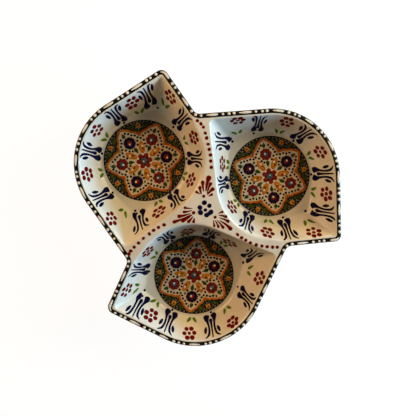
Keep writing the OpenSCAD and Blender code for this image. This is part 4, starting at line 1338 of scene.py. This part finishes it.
class BOWL_OT_medallions(bpy.types.Operator):
    """Makes the star medallion on the floor of each well, layer by layer"""
    bl_idname = "bowl.medallions"
    bl_label = "Medallions"

    def layers(self, medallion, name, heights):
        """The black ground, the star's cream field on it, and the field's orange line."""
        foot, ground_z, field_z = heights
        middle = np.zeros(2)
        around = np.arange(0, 360, GROUND_STEP)
        rows = [medallion.at(polar(MEDALLION_R - depth, around), heights[layer] + rise)
                for depth, layer, rise in GROUND_ROWS]
        poles = medallion.at(middle, foot + GROUND_ROWS[0][2]), medallion.at(middle, ground_z)
        points, faces = stacked(rows, poles)
        piece_from("medallion_ground_" + name, points, faces, "black", ["ground_" + name])

        star = star_line()
        rows = [medallion.at(star * share, heights[layer] + rise) for share, layer, rise in FIELD_ROWS]
        poles = medallion.at(middle, ground_z + FIELD_ROWS[0][2]), medallion.at(middle, field_z)
        points, faces = stacked(rows, poles)
        piece_from("star_field_enamel_" + name, points, faces, "cream", ["star_field_" + name])

        line = Strokes()
        line.add(medallion.at(star, ground_z), UPWARDS, np.full(len(star), STAR_LINE_W / 2), closed=True)
        line.make("star_line_enamel_" + name, "orange", STAR_LINE_RELIEF, ["star_line_" + name], section=10)

    def flower(self, medallion, i, axis):
        """Eight petals on a disc of the other colour, round a bright eye with a white bead on it."""
        petal, disc, eye = (("navy", "black", "brick"), ("brick", "navy", "blue"))[i % 2]
        centre = polar(FLOWER_AT, axis)
        medallion.drop(disc, centre, "disc")
        step = 360 / PETALS
        for j in range(PETALS):
            aim = step * j + axis + PETAL_TURN
            medallion.drop(petal, centre + polar(FLOWER_R - PETAL_IN, aim), "petal", aim)
            if i % 2 == 0:
                medallion.drop("brick", centre + polar(FLOWER_R - PETAL_GAP_IN, aim + step / 2), "petal gap")
        medallion.drop(eye, centre, "eye")
        # The beads stand every way, as hand-set ones do
        bead = centre + polar(EYE_BEAD_OFF, 70 * i * i + 40 + 100 * medallion.well)
        medallion.drop("white", bead, "eye bead", 30 * i)

    def sixth(self, medallion, i):
        """A flower between two leaves on a tip's axis, and an almond petal on the next notch's."""
        axis, notch = 60 * i, 60 * i + 30
        medallion.stroke("brick", SMALL_PETAL, axis)
        medallion.drop("white", polar(BEAD_AT, notch + OFF_AXIS), "bead")
        medallion.stroke("orange", ALMOND, notch)
        medallion.stroke("amber", ALMOND_CORE, notch, lift=CORE_LIFT)
        place = polar(MARK_AT, notch - OFF_AXIS)
        medallion.drop("black", place, "petal mark", notch + MARK_TURN, lift=MARK_LIFT)
        place = polar(PETAL_BEAD_AT, notch + OFF_AXIS * (-1) ** i)
        medallion.drop("white", place, "petal bead", lift=MARK_LIFT)
        self.flower(medallion, i, axis)
        medallion.stroke("moss", OUTER_LEAF, axis)
        medallion.stroke("moss", INNER_LEAF, axis)

    def field_dots(self, medallion):
        """Dark dots in the free places of the star: along its line, round the flowers, then between."""
        star = star_line()
        line_dots = stations(moved_in(star, STAR_LINE_W / 2 + LINE_DOT_IN), DOT_PITCH + LINE_DOT_MORE)
        places = [(place, LINE_DOT_R) for place in line_dots]
        places += [(polar(FLOWER_AT, 60 * i) + polar(FLOWER_R + FLOWER_DOT_OUT, 60 * i + FLOWER_DOT_TURN * j),
                    LINE_DOT_R) for i in range(6) for j in range(FLOWER_DOTS)]
        rows = np.arange(-ROWS_EACH_WAY, ROWS_EACH_WAY + 1)
        places += [(np.array([DOT_PITCH * (i + j % 2 / 2), DOT_PITCH * ROW_SHARE * j]), FIELD_DOT_R)
                   for j in rows for i in rows]
        turns, reaches = by_turn(star)
        for n, (place, size) in enumerate(places):
            room = np.interp(math.degrees(math.atan2(place[1], place[0])), turns, reaches, period=360)
            inside = np.linalg.norm(place) < room - STAR_LINE_W / 2 - size
            if inside and medallion.has_room(place, size - DOT_LESS):
                medallion.drop("black", place, (size, size * (0.88 + 0.1 * math.sin(3 * n)), DOT_H), 57 * n)

    def notch(self, medallion, axis):
        """A floweret between two dark leaves, with small grey dots, on the black ground."""
        medallion.drop("amber", polar(FLOWERET_AT, axis), "floweret")
        medallion.drop("brick", polar(FLOWERET_AT, axis), "floweret eye")
        for side in (-1, 1):
            medallion.stroke("olive", NOTCH_LEAF, axis, side)
            medallion.stroke("olive", NOTCH_BUD, axis, side)
        for reach, turn in NOTCH_DOTS:
            for side in (-1, 1):
                place = polar(reach, axis + turn * side)
                if medallion.has_room(place, NOTCH_DOT_ROOM):
                    medallion.drop("grey", place, "grey dot", 80 * reach)

    def execute(self, context):
        heights = (FLOOR_Z, FLOOR_Z + ENAMEL, FLOOR_Z + ENAMEL + ENAMEL / 2)
        for well, name in enumerate(WELLS):
            medallion = Medallion(well)
            self.layers(medallion, name, heights)
            medallion.lie_on(heights[2])
            medallion.drop("black", np.zeros(2), "ruff")
            medallion.drop("blue", np.zeros(2), "boss")
            medallion.drop("white", polar(BOSS_BEAD_OFF, 40 + 50 * well), "boss bead")
            for i in range(6):
                self.sixth(medallion, i)
            self.field_dots(medallion)
            medallion.lie_on(heights[1])
            for i in range(6):
                self.notch(medallion, 60 * i + 30)

            for colour, strokes in medallion.strokes.items():
                stands_for = STANDS_FOR.get(colour + " strokes")
                strokes.make("medallion_%s_strokes_%s" % (colour, name), colour, STROKE_RELIEF[colour],
                             [stands_for + name] if stands_for else ())
            for i, (colour, drops) in enumerate(medallion.drops.items()):
                stands_for = STANDS_FOR.get(colour + " drops")
                drops.make("medallion_%s_drops_%s" % (colour, name), colour,
                           [stands_for + name] if stands_for else (),
                           rings=4 if colour in ("black", "grey") else 6, seed=31 + 7 * i + well)
        return {"FINISHED"}


# Half the floor's width, and how far under the feet it lies so that nothing touches it, in metres
FLOOR_HALF, FLOOR_DROP = 3, 0.4 * MM
# How much of the floor shines where it is seen, and how bright it is
GLOW_SHARE, GLOW = 0.85, 1.1
# Each lamp's property, turn about the bowl, height above the horizon, and colour
LAMPS = (
    ("window", 0, 12, "93d4ff"),
    ("key", 30, 30, "ffe2a4"),
    ("room", 150, 30, "ffc37e"),
)
# How wide a lamp is and where it points, in metres
LAMP_SIZE, LAMP_AIM = 0.5, Vector((0, 0, 0.02))
# The camera, as fitted to the photographed outline: its sensor and lens, the distances in metres
# that it sees between, its tilt as a turn about an axis in radians, and its place before that turn,
# from the middle of the rim in millimetres
SENSOR, LENS, CLIP = 36.0, 56.25, (0.01, 20)
TILT = Vector((0.107, 0.042, 0))
EYE = Vector((3.607, 0.014, 603.68))


def rays_that_show(tree):
    """1 for a ray that sees or mirrors the surroundings, and 0 for one that lights the bowl."""
    ray = add(tree, "ShaderNodeLightPath")
    clear = add(tree, "ShaderNodeMath", {"operation": "MAXIMUM"},
                {0: ray.outputs["Is Camera Ray"], 1: ray.outputs["Is Transmission Ray"]})
    shown = add(tree, "ShaderNodeMath", {"operation": "MAXIMUM"},
                {0: clear.outputs[0], 1: ray.outputs["Is Glossy Ray"]})
    return shown.outputs[0]


def white_paper(colour):
    """A sweep of matt white paper, lit so that it shows almost no shade."""
    material, tree = new_material("white paper floor")
    share = add(tree, "ShaderNodeMath", {"operation": "MULTIPLY", 1: GLOW_SHARE}, {0: rays_that_show(tree)})
    paper = add(tree, "ShaderNodeBsdfDiffuse", {"Color": (*colour, 1)})
    glow = add(tree, "ShaderNodeEmission", {"Color": (1, 1, 1, 1), "Strength": GLOW})
    mixed = add(tree, "ShaderNodeMixShader",
                links={0: share.outputs[0], 1: paper.outputs[0], 2: glow.outputs[0]})
    add(tree, "ShaderNodeOutputMaterial", links={"Surface": mixed.outputs[0]})
    return material


def surroundings(strength):
    """Light from all round is faint. What is seen or mirrored is a white backdrop under a dim ceiling."""
    world = bpy.data.worlds.new("studio")
    world.use_nodes = True
    tree = world.node_tree
    tree.nodes.clear()
    way = add(tree, "ShaderNodeSeparateXYZ", links={0: add(tree, "ShaderNodeTexCoord").outputs["Generated"]})
    dimming = {"From Min": 0.2, "From Max": 0.75, "To Min": 1.0, "To Max": 0.07}
    ceiling = add(tree, "ShaderNodeMapRange", dimming, {"Value": way.outputs["Z"]})
    light = add(tree, "ShaderNodeBackground", {"Color": linear("f8dcae"), "Strength": strength})
    white = add(tree, "ShaderNodeBackground", {"Color": (1, 1, 1, 1)}, {"Strength": ceiling.outputs[0]})
    mixed = add(tree, "ShaderNodeMixShader",
                links={0: rays_that_show(tree), 1: light.outputs[0], 2: white.outputs[0]})
    add(tree, "ShaderNodeOutputWorld", links={"Surface": mixed.outputs[0]})
    return world


class BOWL_OT_stage(bpy.types.Operator):
    """Sets the pale floor, the soft lights and the camera"""
    bl_idname = "bowl.stage"
    bl_label = "Studio"

    def execute(self, context):
        scene, studio = context.scene, context.scene.bowl_studio
        scene.view_settings.view_transform = "Standard"
        scene.world = surroundings(studio.sky)

        mesh = bpy.data.meshes.new("floor")
        corners = FLOOR_HALF * np.array([(-1, -1), (1, -1), (1, 1), (-1, 1)])
        mesh.from_pydata(at_z(corners, -FLOOR_DROP).tolist(), [], [(0, 1, 2, 3)])
        mesh.materials.append(white_paper(studio.floor))
        put("floor", mesh)

        for name, turn, rise, colour in LAMPS:
            lamp = bpy.data.lights.new(name + " light", "AREA")
            lamp.shape, lamp.size = "DISK", LAMP_SIZE
            lamp.energy, lamp.color = getattr(studio, name), linear(colour)[:3]
            holder = put(name + " light", lamp)
            rise = math.radians(rise)
            holder.location = (*polar(math.cos(rise), turn), math.sin(rise))
            holder.rotation_euler = (LAMP_AIM - holder.location).to_track_quat("-Z", "Y").to_euler()

        camera = bpy.data.cameras.new("camera")
        camera.sensor_width, camera.lens = SENSOR, LENS
        camera.clip_start, camera.clip_end = CLIP
        holder = put("camera", camera)
        turn = Matrix.Rotation(-TILT.length, 4, TILT)
        eye = turn @ EYE + Vector((*AXIS, RIM_Z))
        holder.matrix_world = Matrix.Translation(eye * MM) @ turn
        scene.camera = holder
        return {"FINISHED"}


class BOWL_PT_panel(bpy.types.Panel):
    """Lists the bowl's pieces and what can be changed"""
    bl_label = "Divided bowl"
    bl_idname = "BOWL_PT_panel"
    bl_space_type = "VIEW_3D"
    bl_region_type = "UI"
    bl_category = "Bowl"

    def draw(self, context):
        layout = self.layout
        for operator in OPERATORS:
            layout.operator(operator.bl_idname)
        for label, group in (("Shape", context.scene.bowl_shape), ("Colours", context.scene.bowl_colours),
                             ("Studio", context.scene.bowl_studio)):
            box = layout.box()
            box.label(text=label)
            for field in group.__annotations__:
                box.prop(group, field)


OPERATORS = (BOWL_OT_casting, BOWL_OT_foot_rings, BOWL_OT_rim, BOWL_OT_ridges, BOWL_OT_walls,
             BOWL_OT_medallions, BOWL_OT_stage)
GROUPS = (("bowl_shape", BowlShape), ("bowl_colours", BowlColours), ("bowl_studio", BowlStudio))


def register():
    for name, group in GROUPS:
        bpy.utils.register_class(group)
        setattr(bpy.types.Scene, name, PointerProperty(type=group))
    for operator in OPERATORS:
        bpy.utils.register_class(operator)
    bpy.utils.register_class(BOWL_PT_panel)


def unregister():
    bpy.utils.unregister_class(BOWL_PT_panel)
    for operator in reversed(OPERATORS):
        bpy.utils.unregister_class(operator)
    for name, group in reversed(GROUPS):
        delattr(bpy.types.Scene, name)
        bpy.utils.unregister_class(group)


def main():
    register()
    bpy.ops.bowl.stage()
    bpy.ops.bowl.casting()
    bpy.ops.bowl.foot_rings()
    bpy.ops.bowl.rim()
    bpy.ops.bowl.ridges()
    bpy.ops.bowl.walls()
    bpy.ops.bowl.medallions()


if __name__ == "__main__":
    main()
